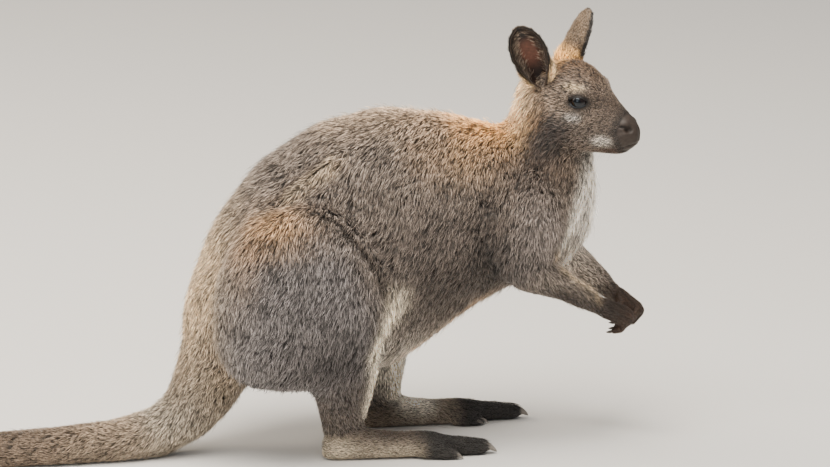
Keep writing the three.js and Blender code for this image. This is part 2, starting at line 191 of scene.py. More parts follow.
def triangles_mesh(name: str, places: Array, triangles: Array) -> Object:
    """A mesh object from arrays, smooth all over.

    Args:
        name: The object's name.
        places: The vertices.
        triangles: Three vertex numbers in each row.

    Returns:
        The new object.
    """
    mesh = bpy.data.meshes.new(name)
    mesh.vertices.add(len(places))
    mesh.vertices.foreach_set("co", places.ravel())
    mesh.loops.add(triangles.size)
    mesh.loops.foreach_set("vertex_index", triangles.ravel().astype(np.int32))
    mesh.polygons.add(len(triangles))
    mesh.polygons.foreach_set("loop_start", np.arange(0, triangles.size, 3, dtype=np.int32))
    mesh.update(calc_edges=True)
    mesh.polygons.foreach_set("use_smooth", np.ones(len(triangles), bool))
    obj = bpy.data.objects.new(name, mesh)
    bpy.context.scene.collection.objects.link(obj)
    return obj


def shaped_grid(name: str, places: Array, wrap: bool = False) -> Object:
    """A primitive grid whose vertices are moved to these places.

    Args:
        name: The object's name.
        places: Rows of columns of points.
        wrap: Whether the last column lies on the first one and is merged with it.

    Returns:
        The new object, smooth all over.
    """
    rows, columns = places.shape[:2]
    bpy.ops.object.select_all(action="DESELECT")
    bpy.ops.mesh.primitive_grid_add(x_subdivisions=columns - 1, y_subdivisions=rows - 1)
    obj = bpy.context.object
    obj.name = obj.data.name = name
    set_places(obj, places.reshape(-1, 3))
    if wrap:
        bpy.ops.object.mode_set(mode="EDIT")
        bpy.ops.mesh.select_all(action="SELECT")
        bpy.ops.mesh.remove_doubles(threshold=1e-6)
        bpy.ops.object.mode_set(mode="OBJECT")
    bpy.ops.object.shade_smooth()
    return obj


def dress(obj: Object, material: bpy.types.Material) -> Object:
    """Gives a finished piece its material and slot, and lets it ride on the body."""
    obj.data.materials.clear()
    obj.data.materials.append(material)
    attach(obj, BODY)
    return obj


@dataclass
class Surface:
    """A mesh as arrays, for work on all of its vertices at once."""

    places: Array
    edges: Array
    triangles: Array

    @classmethod
    def of(cls, obj: Object) -> "Surface":
        """The surface of a mesh object."""
        mesh = obj.data
        mesh.calc_loop_triangles()
        edges = np.empty(len(mesh.edges) * 2, np.int32)
        mesh.edges.foreach_get("vertices", edges)
        triangles = np.empty(len(mesh.loop_triangles) * 3, np.int32)
        mesh.loop_triangles.foreach_get("vertices", triangles)
        return cls(places_of(obj), edges.reshape(-1, 2), triangles.reshape(-1, 3))

    def normals(self) -> Array:
        """The outward normal at each vertex."""
        a, b, c = (self.places[self.triangles[:, k]] for k in range(3))
        faces = np.cross(b - a, c - a)
        count = len(self.places)
        corners = self.triangles.T.ravel()
        weights = np.tile(faces, (3, 1))
        return unit(np.stack([np.bincount(corners, weights[:, k], count) for k in range(3)], 1))

    def areas(self) -> Array:
        """The area of each triangle."""
        a, b, c = (self.places[self.triangles[:, k]] for k in range(3))
        return np.linalg.norm(np.cross(b - a, c - a), axis=1) / 2

    def spread(self, values: Array, rounds: int, share: Array | float = 1.0) -> Array:
        """Averages what each vertex holds with what its neighbours hold, several times.

        Args:
            values: Rows of numbers, one row for each vertex.
            rounds: How many times.
            share: How far each vertex goes towards its neighbours' mean each time.

        Returns:
            The averaged rows.
        """
        count = len(values)
        start, end = self.edges.T
        ways = np.maximum(np.bincount(self.edges.ravel(), minlength=count), 1)[:, None]
        share = np.broadcast_to(np.reshape(share, (-1, 1)), (count, 1))
        for _ in range(rounds):
            columns = [
                np.bincount(start, values[end, k], count) + np.bincount(end, values[start, k], count)
                for k in range(values.shape[1])
            ]
            values = values + share * (np.stack(columns, 1) / ways - values)
        return values

    def tree(self) -> BVHTree:
        """A search tree over the triangles."""
        return BVHTree.FromPolygons(self.places.tolist(), self.triangles.tolist())


# ---- The body's parts and the lie of the coat ---------------------------------------------------


class Part(Enum):
    """A part of the body, named as its nodes are without their side."""

    TRUNK = "trunk"
    NECK = "neck"
    HEAD = "head"
    EAR = "ear"
    THIGH = "thigh"
    SHANK = "shank"
    FOOT = "foot"
    UPPER_ARM = "upper_arm"
    FOREARM = "forearm"
    PAW = "paw"
    TAIL_ROOT = "tail_root"
    TAIL_MIDDLE = "tail_middle"
    TAIL_TIP = "tail_tip"


PARTS = list(Part)


@dataclass(frozen=True)
class Lie:
    """How the coat lies on a part: sizes in millimetres, and the way that the hair points.

    depth is from the skin to the tips, evens how far the facets below are smoothed away.
    """

    depth: float
    length: float
    width: float
    spacing: float
    evens: float
    flow: tuple[float, float, float]
    speckle: float = 1.0  # how much its tufts differ in tone


LIES = {
    Part.TRUNK: Lie(10.0, 15.0, 1.0, 1.7, 0.9, (-1.0, 0.0, -0.5)),
    Part.NECK: Lie(9.0, 14.0, 0.95, 1.55, 0.9, (-0.6, 0.0, -1.0)),
    Part.HEAD: Lie(4.5, 7.0, 0.78, 1.12, 0.5, (-1.0, 0.0, -0.35), 1.9),
    Part.EAR: Lie(1.2, 6.0, 0.7, 1.1, 0.3, (0.0, 0.0, 1.0)),
    Part.THIGH: Lie(9.5, 14.5, 1.0, 1.7, 0.8, (-0.3, 0.0, -1.0)),
    Part.SHANK: Lie(5.0, 10.5, 0.85, 1.4, 0.5, (-0.1, 0.0, -1.0)),
    Part.FOOT: Lie(2.2, 6.5, 0.8, 1.3, 0.3, (1.0, 0.0, -0.12), 0.55),
    Part.UPPER_ARM: Lie(6.0, 11.5, 0.9, 1.45, 0.5, (-0.1, 0.0, -1.0)),
    Part.FOREARM: Lie(4.0, 9.5, 0.8, 1.3, 0.4, (1.0, 0.0, -0.55)),
    Part.PAW: Lie(0.7, 3.0, 0.6, 1.0, 0.05, (0.7, 0.0, -0.7), 0.5),
    Part.TAIL_ROOT: Lie(7.0, 12.5, 0.95, 1.6, 0.7, (-0.55, 0.0, -1.0), 0.8),
    Part.TAIL_MIDDLE: Lie(5.0, 11.0, 0.9, 1.5, 0.5, (-1.0, 0.0, -0.1), 0.75),
    Part.TAIL_TIP: Lie(4.0, 10.0, 0.85, 1.45, 0.4, (-1.0, 0.0, 0.0), 0.75),
}


def part_of(node: str) -> Part:
    """The part that a node belongs to; the eyeballs fill their sockets as part of the head."""
    return Part.HEAD if node.startswith("eye_") else Part(node.removesuffix("_right").removesuffix("_left"))


def table(field_name: str) -> Array:
    """One column of the coat's sizes, in the order of the parts."""
    return np.array([getattr(LIES[part], field_name) for part in PARTS])


class PartFinder:
    """Tells the part of the body that a place belongs to, from the nearest of the solids."""

    def __init__(self, nodes: dict[str, Object]) -> None:
        """Gathers the triangles of these nodes, by name."""
        surfaces = {name: Surface.of(node) for name, node in nodes.items()}
        counts = [len(surface.places) for surface in surfaces.values()]
        starts = np.concatenate([[0], np.cumsum(counts)[:-1]])
        self.places = np.concatenate([surface.places for surface in surfaces.values()])
        shifted = [surface.triangles + start for surface, start in zip(surfaces.values(), starts)]
        self.triangles = np.concatenate(shifted)
        owners = [PARTS.index(part_of(name)) for name in surfaces]
        self.owner = np.repeat(owners, [len(surface.triangles) for surface in surfaces.values()])
        self.tree = BVHTree.FromPolygons(self.places.tolist(), self.triangles.tolist())

    def parts(self, places: Array) -> Array:
        """The number in PARTS of the part nearest to each place."""
        return self.owner[[self.tree.find_nearest(place)[2] for place in places.tolist()]]


# ---- The head's frame ---------------------------------------------------------------------------


class Head:
    """The head's own directions and the places in it, from the two eyes of the frame."""

    def __init__(self) -> None:
        """Reads the eyes' boxes."""
        right, left = (np.mean([np.array(c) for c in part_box(f"eye_{s}")], axis=0) for s in ("right", "left"))
        low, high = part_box("eye_right")
        self.eye_radius = (high[2] - low[2]) / 2
        self.eyes = {-1: right, 1: left}
        self.origin = (right + left) / 2
        self.out = unit(left - right)
        self.ahead = np.cross(self.out, UP)
        self.axes = np.stack([self.ahead, self.out, UP])

    def local(self, places: Array) -> Array:
        """Places in the head, in millimetres."""
        return (places - self.origin) @ self.axes.T / MM

    def world(self, places: Array) -> Array:
        """Places in the model's frame from places in the head."""
        return np.asarray(places) @ self.axes * MM + self.origin

    def turned(self, directions: Array) -> Array:
        """Directions in the model's frame from directions in the head."""
        return np.asarray(directions) @ self.axes


# ---- Markings -----------------------------------------------------------------------------------


@dataclass(frozen=True)
class Mark:
    """A soft patch of colour on both sides of the animal, in millimetres."""

    at: tuple[float, float, float]
    radii: tuple[float, float, float]
    colour: str
    strength: float = 1.0


GROUND_COLOURS = {
    Part.TRUNK: "756a61",
    Part.NECK: "65574b",
    Part.HEAD: "675a4f",
    Part.EAR: "6c5d50",
    Part.THIGH: "6a6564",
    # the shanks' dark grey-brown: partly their own colour, partly painted shadow of the near leg on the far shank
    Part.SHANK: "4b423c",
    Part.FOOT: "776b5d",
    Part.UPPER_ARM: "7a706a",
    Part.FOREARM: "94877b",
    Part.PAW: "3e2b1e",
    Part.TAIL_ROOT: "7f7364",
    Part.TAIL_MIDDLE: "9c8973",
    Part.TAIL_TIP: "64503f",
}

# Over the trunk, legs and tail: places in the model's frame.
BODY_MARKS = [
    Mark((230, 0, 425), (190, 80, 34), "bca489", 0.8),  # pale frosting along the back: the coat's pale tips, and partly painted light from above
    Mark((0, 0, 250), (52, 80, 140), "cfb795", 0.85),  # rump, pale partly with painted light from above
    Mark((362, 20, 400), (48, 46, 30), "eeb162", 0.95),  # rufous nape
    Mark((318, 62, 372), (42, 30, 26), "a58258", 0.75),  # shoulder
    Mark((80, 88, 300), (48, 36, 22), "bd9566", 0.85),  # rufous patch on the hip
    Mark((52, 88, 265), (14, 30, 40), "a3815c", 0.5),
    Mark((280, 84, 275), (80, 34, 60), "4b433e", 0.82),  # grey flank
    # painted shade low on the flank and the side of the belly, away from the light above
    Mark((325, 84, 205), (95, 48, 52), "1f1a17", 0.93),
    Mark((430, 76, 192), (30, 28, 18), "2a2019", 1.0),  # painted shade on the underside of the forearm
    Mark((466, 68, 177), (36, 30, 19), "2a2019", 1.0),
    Mark((491, 58, 167), (24, 28, 22), "2a1e16", 1.0),  # wrists
    Mark((512, 26, 174), (20, 20, 20), "2e2219", 1.0),  # painted shade on the side of the belly, beside the forearms
    Mark((150, 100, 138), (70, 46, 44), "35302f", 0.85),  # painted shade low on the thigh
    Mark((354, 80, 262), (20, 30, 52), "2b2421", 0.7),  # painted shade behind the arm
    Mark((394, 48, 350), (36, 34, 50), "4d423a", 0.85),  # dark side of the neck
    Mark((484, 0, 312), (25, 39, 88), "fdf8ef", 1.0),  # white chest
    Mark((440, 0, 240), (42, 42, 42), "e6ded3", 1.0),  # between the arms
    Mark((300, 0, 125), (130, 40, 30), "c9c0b4", 0.85),  # belly
    Mark((215, 40, 120), (26, 30, 62), "d6cfc3", 0.8),  # inner sides of the legs
    Mark((156, 74, 14), (24, 40, 17), "c9bba3", 0.8),  # heel and side of the foot
    Mark((212, 88, 9), (58, 26, 12), "b9ab95", 0.85),
    Mark((240, 66, 37), (66, 40, 16), "3a302a", 1.0),  # top of the foot
    # painted highlight on the top of the tail's bend
    Mark((-26, 0, 48), (40, 60, 22), "b9ae9d", 0.8),
    Mark((18, 40, 88), (36, 40, 24), "5d564f", 0.75),
    Mark((-40, 0, 16), (130, 60, 14), "9c907f", 0.6),  # silver underside of the tail
    Mark((-250, 0, 6), (190, 60, 12), "685a4c", 0.6),
    Mark((-240, 0, 32), (130, 90, 44), "5c4d40", 1.0),
    Mark((30, 52, 95), (32, 20, 30), "ab9474", 0.5),  # tan edge at the tail's root
]

# Over the head, ears and nape: places in the head.
HEAD_MARKS = [
    Mark((-14, 0, 42), (36, 34, 17), "503b27", 0.95),  # brown crown
    Mark((14, 0, 30), (20, 26, 18), "4f3f31", 0.88),
    Mark((-44, 0, 42), (18, 40, 12), "c99a58", 0.95),  # golden fur between the ears
    Mark((-74, 14, -6), (17, 28, 44), "f8dfb8", 1.0),  # cream nape
    Mark((-74, 30, -36), (18, 20, 22), "c9a473", 0.6),
    Mark((-2, 30, 16), (12, 9, 4.0), "c9b593", 0.9),  # cream spot above the eye
    Mark((-2, 36, -18), (10, 8, 6), "cfcbc4", 0.85),  # pale spot below the eye
    Mark((17, 26, 0), (9, 9, 9), "4f443b", 0.6),  # dark ahead of the eye
    Mark((-20, 37, -36), (24, 16, 20), "453d38", 1.0),  # grey cheek
    Mark((-38, 37, -46), (32, 24, 28), "332c29", 1.0),  # dark jaw
    Mark((12, 26, -38), (16, 14, 12), "5f554c", 0.6),
    Mark((31, 22, -46), (13, 10, 6.5), "ddd5ca", 0.9),
    Mark((38, 22, -32), (9, 10, 8), "5d5045", 0.75),  # brown between it and the nose  # whitish stripe over the lip
    Mark((34, 10, -6), (18, 16, 14), "4b3e34", 0.8),  # bridge of the nose
    Mark((20, 14, -66), (30, 16, 5), "6f655b", 0.6),  # chin
    Mark((38, 16, -59), (22, 12, 3.5), "4a3428", 0.9),  # brown lower lip
]
MUZZLE = "2e2520"  # bare dark skin of the nose and lips
TOE_DARK = "0d0b0a"
EYE_DARK = "2a231e"  # round the lids


class Markings:
    """The colours of the coat and the skin, the same for both."""

    def __init__(self, head: Head) -> None:
        """Keeps the head's frame."""
        self.head = head

    def colours(self, places: Array, parts: Array) -> Array:
        """The coat's colour at each place.

        Args:
            places: Points in the model's frame.
            parts: The number of each one's part.

        Returns:
            A linear colour for each place.
        """
        colours = np.array([srgb(GROUND_COLOURS[part]) for part in PARTS])[parts]
        folded = places / MM * [1, 0, 1] + np.abs(places / MM) * [0, 1, 0]
        for mark in BODY_MARKS:
            colours = self.lay(colours, folded, mark)
        near = self.head.local(places)
        near[:, 1] = np.abs(near[:, 1])
        close = np.linalg.norm(near, axis=1) < 140
        for mark in HEAD_MARKS:
            colours[close] = self.lay(colours[close], near[close], mark)
        return colours

    def lay(self, colours: Array, places: Array, mark: Mark) -> Array:
        """The colours with a mark laid over them."""
        share = (mark.strength * within(places, mark.at, mark.radii))[:, None]
        return colours + share * (np.array(srgb(mark.colour)) - colours)

    def toes(self, colours: Array, places: Array, parts: Array) -> Array:
        """The colours with the toes of both feet darkened, ahead of the ball of each foot."""
        for side in ("right", "left"):
            low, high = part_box(f"foot_{side}")
            on_side = (places[:, 1] < 0) == (side == "right")
            feet = on_side & (parts == PARTS.index(Part.FOOT))
            start = low[0] + 0.5 * (high[0] - low[0])
            share = (feet * ramp(places[:, 0], start, start + 0.03))[:, None]
            colours = colours + 0.95 * share * (np.array(srgb(TOE_DARK)) - colours)
        return colours


# ---- Materials ----------------------------------------------------------------------------------


def add_node(tree: bpy.types.NodeTree, kind: str, inputs: dict | None = None, **settings: object):
    """Adds a node.

    Args:
        tree: The node tree.
        kind: The node's type, without its ShaderNode.
        inputs: For each input's name or number, a value, or the output to link to it.
        settings: The node's own settings.

    Returns:
        The node.
    """
    node = tree.nodes.new("ShaderNode" + kind)
    for name, value in settings.items():
        setattr(node, name, value)
    for key, value in (inputs or {}).items():
        if isinstance(value, bpy.types.NodeSocket):
            tree.links.new(value, node.inputs[key])
        else:
            node.inputs[key].default_value = value
    return node


def new_material(name: str) -> tuple[bpy.types.Material, bpy.types.NodeTree]:
    """A material with an empty node tree."""
    material = bpy.data.materials.new(name)
    material.use_nodes = True
    material.node_tree.nodes.clear()
    return material, material.node_tree


def close_material(tree: bpy.types.NodeTree, shader: bpy.types.Node) -> None:
    """Links a shader to the material's output."""
    add_node(tree, "OutputMaterial", {"Surface": shader.outputs[0]})


def fill_ramp(node: bpy.types.Node, stops: list[tuple[float, float]]) -> None:
    """Sets a colour ramp's stops to these places and greys."""
    elements = node.color_ramp.elements
    while len(elements) < len(stops):
        elements.new(0.5)
    for element, (place, grey) in zip(elements, stops):
        element.position = place
        element.color = (grey, grey, grey, 1)


@dataclass(frozen=True)
class WallabyFur:
    """Agouti guard hair over grey underfur: dark roots, a pale band below the tip, and a dark tip."""

    bands: tuple = ((0.0, 0.2), (0.35, 0.42), (0.6, 0.82), (0.8, 1.0), (1.0, 0.55))
    contrast: float = 2.2  # the brightest band against the coat's own colour
    least_tone: float = 0.2
    most_tone: float = 2.1
    roughness: float = 0.62

    def make(self) -> bpy.types.Material:
        """The material that all tufts share."""
        material, tree = new_material("agouti_fur")
        coat = add_node(tree, "Attribute", attribute_name="coat")
        along = add_node(tree, "Attribute", attribute_name="along")
        tone = add_node(tree, "Attribute", attribute_name="tone")
        bands = add_node(tree, "ValToRGB", {"Fac": along.outputs["Fac"]})
        fill_ramp(bands, list(self.bands))
        shade = add_node(
            tree,
            "MapRange",
            {"Value": tone.outputs["Fac"], "To Min": self.least_tone, "To Max": self.most_tone},
        )
        strength = add_node(
            tree, "Math", {0: bands.outputs["Color"], 1: shade.outputs["Result"]}, operation="MULTIPLY"
        )
        full = add_node(tree, "Math", {0: strength.outputs[0], 1: self.contrast}, operation="MULTIPLY")
        colour = add_node(
            tree, "VectorMath", {0: coat.outputs["Color"], "Scale": full.outputs[0]}, operation="SCALE"
        )
        shader = add_node(
            tree,
            "BsdfPrincipled",
            {
                "Base Color": colour.outputs[0],
                "Roughness": self.roughness,
                "Specular IOR Level": 0.35,
                "IOR": 1.55,
                "Sheen Weight": 0.15,
                "Sheen Roughness": 0.5,
            },
        )
        close_material(tree, shader)
        return material


@dataclass(frozen=True)
class WallabySkin:
    """Skin under fur, dull and darkened with painted shade between the hairs; where bare, dark leathery skin with
    fine pebbles.
    """

    under_fur: float = 0.42  # how dark the skin under the coat is painted, as shade between the tufts
    pebble_mm: float = 1.1
    roughness: float = 0.58

    def make(self) -> bpy.types.Material:
        """The skin's material."""
        material, tree = new_material("wallaby_skin")
        coat = add_node(tree, "Attribute", attribute_name="coat")
        bare = add_node(tree, "Attribute", attribute_name="bare")
        place = add_node(tree, "TexCoord")
        pebbles = add_node(
            tree,
            "TexVoronoi",
            {"Vector": place.outputs["Object"], "Scale": 1 / (self.pebble_mm * MM), "Randomness": 0.9},
        )
        mottle = add_node(
            tree, "TexNoise", {"Vector": place.outputs["Object"], "Scale": 260.0, "Detail": 4.0}
        )
        tint = add_node(
            tree, "MapRange", {"Value": mottle.outputs["Fac"], "From Min": 0.3, "From Max": 0.7, "To Min": 0.75}
        )
        tint.inputs["To Max"].default_value = 1.3
        # painted shade: the skin under fur is darkened, less where it is bare
        depth = add_node(
            tree,
            "MapRange",
            {"Value": bare.outputs["Fac"], "To Min": self.under_fur, "To Max": 1.0},
        )
        scale = add_node(tree, "Math", {0: tint.outputs[0], 1: depth.outputs[0]}, operation="MULTIPLY")
        colour = add_node(
            tree, "VectorMath", {0: coat.outputs["Color"], "Scale": scale.outputs[0]}, operation="SCALE"
        )
        height = add_node(
            tree, "Math", {0: pebbles.outputs["Distance"], 1: bare.outputs["Fac"]}, operation="MULTIPLY"
        )
        bump = add_node(
            tree, "Bump", {"Height": height.outputs[0], "Strength": 0.35, "Distance": 0.3 * MM}
        )
        shader = add_node(
            tree,
            "BsdfPrincipled",
            {
                "Base Color": colour.outputs[0],
                "Roughness": self.roughness,
                "Normal": bump.outputs[0],
                "Specular IOR Level": 0.4,
            },
        )
        close_material(tree, shader)
        return material


@dataclass(frozen=True)
class WetEye:
    """A wallaby's eye: a nearly black pupil in a dark brown iris, under a clear wet cornea."""

    pupil: str = "030303"
    iris: str = "1c120c"

    def make(self) -> bpy.types.Material:
        """The eyes' material, which reads how far each place is from the pupil's middle."""
        material, tree = new_material("wet_eye")
        ring = add_node(tree, "Attribute", attribute_name="ring")
        place = add_node(tree, "TexCoord")
        rays = add_node(tree, "TexNoise", {"Vector": place.outputs["Object"], "Scale": 900.0, "Detail": 3.0})
        edge = add_node(
            tree, "MapRange", {"Value": ring.outputs["Fac"], "From Min": 0.42, "From Max": 0.55}
        )
        fleck = add_node(
            tree,
            "MixRGB",
            {"Fac": rays.outputs["Fac"], "Color1": (*srgb(self.iris), 1), "Color2": (*srgb("1a100a"), 1)},
        )
        colour = add_node(
            tree,
            "MixRGB",
            {"Fac": edge.outputs[0], "Color1": (*srgb(self.pupil), 1), "Color2": fleck.outputs[0]},
        )
        shader = add_node(
            tree,
            "BsdfPrincipled",
            {
                "Base Color": colour.outputs[0],
                "Roughness": 0.07,
                "IOR": 1.38,
                "Specular Tint": (0.7, 0.85, 1.0, 1.0),
                "Coat Weight": 0.32,
                "Coat Tint": (0.75, 0.88, 1.0, 1.0),
                "Coat Roughness": 0.03,
            },
        )
        close_material(tree, shader)
        return material


@dataclass(frozen=True)
class ClawHorn:
    """Worn keratin: grey horn with fine lines along it and a low polish."""

    colour: str = "a39c93"
    dark: str = "544c45"

    def make(self) -> bpy.types.Material:
        """The claws' material."""
        material, tree = new_material("claw_horn")
        place = add_node(tree, "TexCoord")
        lines = add_node(
            tree, "TexNoise", {"Vector": place.outputs["Object"], "Scale": 420.0, "Detail": 4.0, "Distortion": 0.6}
        )
        colour = add_node(
            tree,
            "MixRGB",
            {"Fac": lines.outputs["Fac"], "Color1": (*srgb(self.dark), 1), "Color2": (*srgb(self.colour), 1)},
        )
        bump = add_node(tree, "Bump", {"Height": lines.outputs["Fac"], "Strength": 0.3, "Distance": 0.2 * MM})
        shader = add_node(
            tree,
            "BsdfPrincipled",
            {"Base Color": colour.outputs[0], "Roughness": 0.38, "IOR": 1.55, "Normal": bump.outputs[0]},
        )
        close_material(tree, shader)
        return material


@dataclass(frozen=True)
class PalePaint:
    """The studio's matt floor."""

    colour: str = "d9d7d3"

    def make(self) -> bpy.types.Material:
        """The floor's material."""
        material, tree = new_material("studio_floor")
        shader = add_node(tree, "BsdfPrincipled", {"Base Color": (*srgb(self.colour), 1), "Roughness": 0.9})
        close_material(tree, shader)
        return material


# ---- Folds and forms of the skin ----------------------------------------------------------------


@dataclass(frozen=True)
class Swell:
    """A soft rise or hollow of the head on both sides, in the head's millimetres."""

    at: tuple[float, float, float]
    radii: tuple[float, float, float]
    height: float


SWELLS = [
    Swell((3, 30, 11), (13, 9, 4.5), 1.6),  # brow over the eye
    Swell((24, 24, -6), (12, 9, 8), -1.8),  # hollow ahead of the eye
    Swell((-8, 35, -15), (18, 9, 5), 1.2),  # cheekbone
    Swell((-27, 38, -34), (20, 12, 18), 2.2),  # chewing muscle
    Swell((-2, 32, -44), (8, 12, 12), -1.6),  # hollow ahead of it
    Swell((34, 22, -24), (14, 9, 10), -1.4),  # side of the snout
    Swell((45, 18, -47), (15, 9, 8), 2.0),  # whisker pad
    Swell((28, 22, -50), (14, 9, 6), 1.2),  # corner of the upper lip
    Swell((56, 14, -25), (6, 6, 5), 1.6),  # wing of the nostril
    Swell((53, 14, -38), (6, 6, 3), 1.0),  # under the nostril
    Swell((66, 0, -40), (5, 2.2, 12), -0.9),  # groove down the middle of the nose
    Swell((44, 10, -63), (14, 10, 3), 1.2),  # lower lip
]
NOSTRILS = [  # the pit and the slit that runs back from it
    Swell((60.0, 13.5, -31.5), (4.8, 4.8, 3.8), -4.8),
    Swell((54.0, 16.5, -28.6), (5.2, 4.0, 1.7), -2.2),
]
MOUTH_LINE = np.array(
    [[70, 0, -49], [64, 7, -50.5], [55, 13, -53.5], [44, 15, -56.5], [33, 17, -57.5], [22, 20, -56.5], [10, 22, -55]]
)
MOUTH_WIDTH = 1.3
MOUTH_DEPTH = 1.8


@dataclass(frozen=True)
class Trail:
    """A line over the skin in millimetres, mirrored to both sides, and what it does to the skin and coat. Its colour
    is painted in a band along it; the dark default is painted shade in the groove.
    """

    line: tuple[tuple[float, float, float], ...]
    width: float
    depth: float = 0.0  # of the groove that it presses into the skin; below 0, a ridge
    # dark by default: painted shade in the groove
    colour: str = "1c1815"
    strength: float = 0.0
    sides: tuple[int, ...] = (-1, 1)


THIGH_EDGE = (
    (78, 60, 306), (89, 63, 316), (111, 75, 323), (140, 78, 320), (164, 87, 310), (183, 93, 290),
    (202, 96, 266), (214, 96, 245), (220, 94, 223), (224, 90, 204),
)
TRAILS = [
    Trail(THIGH_EDGE[2:], 4.6, 9.0, strength=0.95),  # where the thigh lies over the flank, the groove darkened with painted shade
    # painted shade in the groove as it runs on towards the hip
    Trail(THIGH_EDGE[:3], 6.0, 4.0, strength=0.35),
    Trail(((120, 70, 341), (150, 80, 339), (180, 90, 326), (203, 96, 306), (226, 98, 278), (238, 96, 245)), 17, 4.5),
    Trail(((100, 88, 304), (130, 93, 303), (154, 100, 292), (171, 105, 271), (187, 107, 248), (198, 104, 215)), 15, -3.5),
    Trail(((101, 64, 325), (119, 62, 339), (143, 61, 357), (174, 57, 375)), 8, -8.0, "cbb496", 0.7),  # hip fold, its raised ridge painted pale as a highlight
    # painted shade in the groove beside the hip fold
    Trail(((86, 58, 331), (106, 56, 349), (132, 55, 366), (152, 52, 378)), 9, 5.0, strength=0.4),
    # painted shade in the crease behind the arm
    Trail(((348, 76, 335), (345, 78, 318), (341, 82, 282), (344, 76, 243), (358, 57, 213)), 8, 6.0, strength=0.85),
    Trail(((385, 72, 262), (410, 78, 240), (440, 72, 222)), 7, 0.0, "4a423d", 0.5),
    Trail(((484, 22, 352), (476, 33, 322), (466, 42, 300), (455, 47, 276), (443, 51, 257), (437, 56, 247)), 9,
          0.0, "ece5da", 0.9),  # edge of the white chest
    Trail(((425, 66, 252), (448, 62, 228), (474, 52, 208), (490, 48, 196)), 7, 0.0, "c4ad8c", 0.75),  # tan fringe
    Trail(((234, 90, 208), (223, 88, 178), (215, 90, 155), (211, 84, 129), (212, 78, 104), (208, 74, 77), (206, 68, 50)),
          9, -1.0, "ebe0cb", 0.95, (-1,)),  # cream edge of the near leg
    Trail(((236, 92, 214), (228, 92, 196)), 13, 0.0, "d9ccb6", 0.6, (-1,)),
    Trail(((255, 34, 121), (285, 28, 134), (321, 28, 163), (343, 38, 184), (366, 36, 194)), 9, 0.0, "b0967b", 0.85),
    Trail(((250, 44, 125), (254, 48, 95), (252, 49, 74), (256, 49, 58), (268, 50, 45), (295, 50, 38)), 15, 0.0,
          "efe7d8", 1.0, (1,)),  # and of the far leg
    Trail(((234, 90, 208), (235, 90, 178), (240, 88, 150), (248, 82, 125), (258, 74, 100), (258, 72, 75), (262, 68, 50)),
          8, 0.0, "ebe0cb", 0.9, (1,)),
]


# Between the digits of each forepaw, from the knuckles down: side, then the grooves' lines.
DIGIT_GAPS = (
    (-1, ((493, 35, 180), (505, 36, 171), (518, 32, 163), (516, 23, 153), (505, 18, 150))),
    (-1, ((503, 38, 175), (515, 39, 166), (529, 35, 156), (526, 26, 145), (514, 21, 142))),
    (-1, ((503, 44, 170), (515, 45, 161), (530, 41, 152), (526, 32, 140), (515, 28, 137))),
    (-1, ((501, 50, 166), (512, 51, 158), (525, 47, 149), (522, 40, 137), (511, 36, 134))),
    (1, ((522, 17, 174), (531, 11, 165), (541, 4, 154), (535, -3, 145), (523, -5, 144))),
    (1, ((532, 17, 167), (541, 11, 158), (551, 4, 146), (544, -3, 135), (531, -4, 135))),
    (1, ((533, 23, 163), (542, 17, 154), (553, 10, 142), (545, 4, 131), (532, 3, 129))),
    (1, ((531, 30, 160), (540, 24, 151), (550, 17, 140), (543, 12, 129), (531, 12, 127))),
)
# grooves between the digits, darkened with painted shade
TRAILS += [Trail(line, 1.8, 2.2, strength=0.6, sides=(side,)) for side, line in DIGIT_GAPS]


@dataclass(frozen=True)
class Growth:
    """A soft place on both sides where the coat is longer and stands out more, in millimetres.

    deepens tells how much of the lift is taken out of the skin below instead of added outside.
    """

    at: tuple[float, float, float]
    radii: tuple[float, float, float]
    length: float
    lift: float
    in_head: bool = False
    deepens: float = 0.0


GROWTHS = [
    Growth((-44, 0, 40), (18, 36, 14), 1.9, 1.7, True),  # between the ears
    Growth((-68, 14, -10), (22, 30, 40), 1.4, 1.2, True),  # nape
    Growth((-36, 34, -50), (26, 18, 22), 1.5, 1.25, True),  # ruff of the jaw
    Growth((470, 20, 300), (26, 40, 90), 1.3, 1.25),  # chest
    Growth((466, 56, 190), (26, 16, 12), 1.4, 1.8),  # over the near forearm
    Growth((500, 15, 170), (16, 10, 9), 1.1, 1.9),  # between the forearms
]


# ---- The skin -----------------------------------------------------------------------------------


PAWS_REACH = 48
REFINED = (  # centres and radii in the head, and last in the model's frame
    ((22, 0, -16), (40, 45, 60)),
    ((58, 0, -42), (24, 26, 26)),
    ((536, 0, 148), (PAWS_REACH, 62, 36)),
)


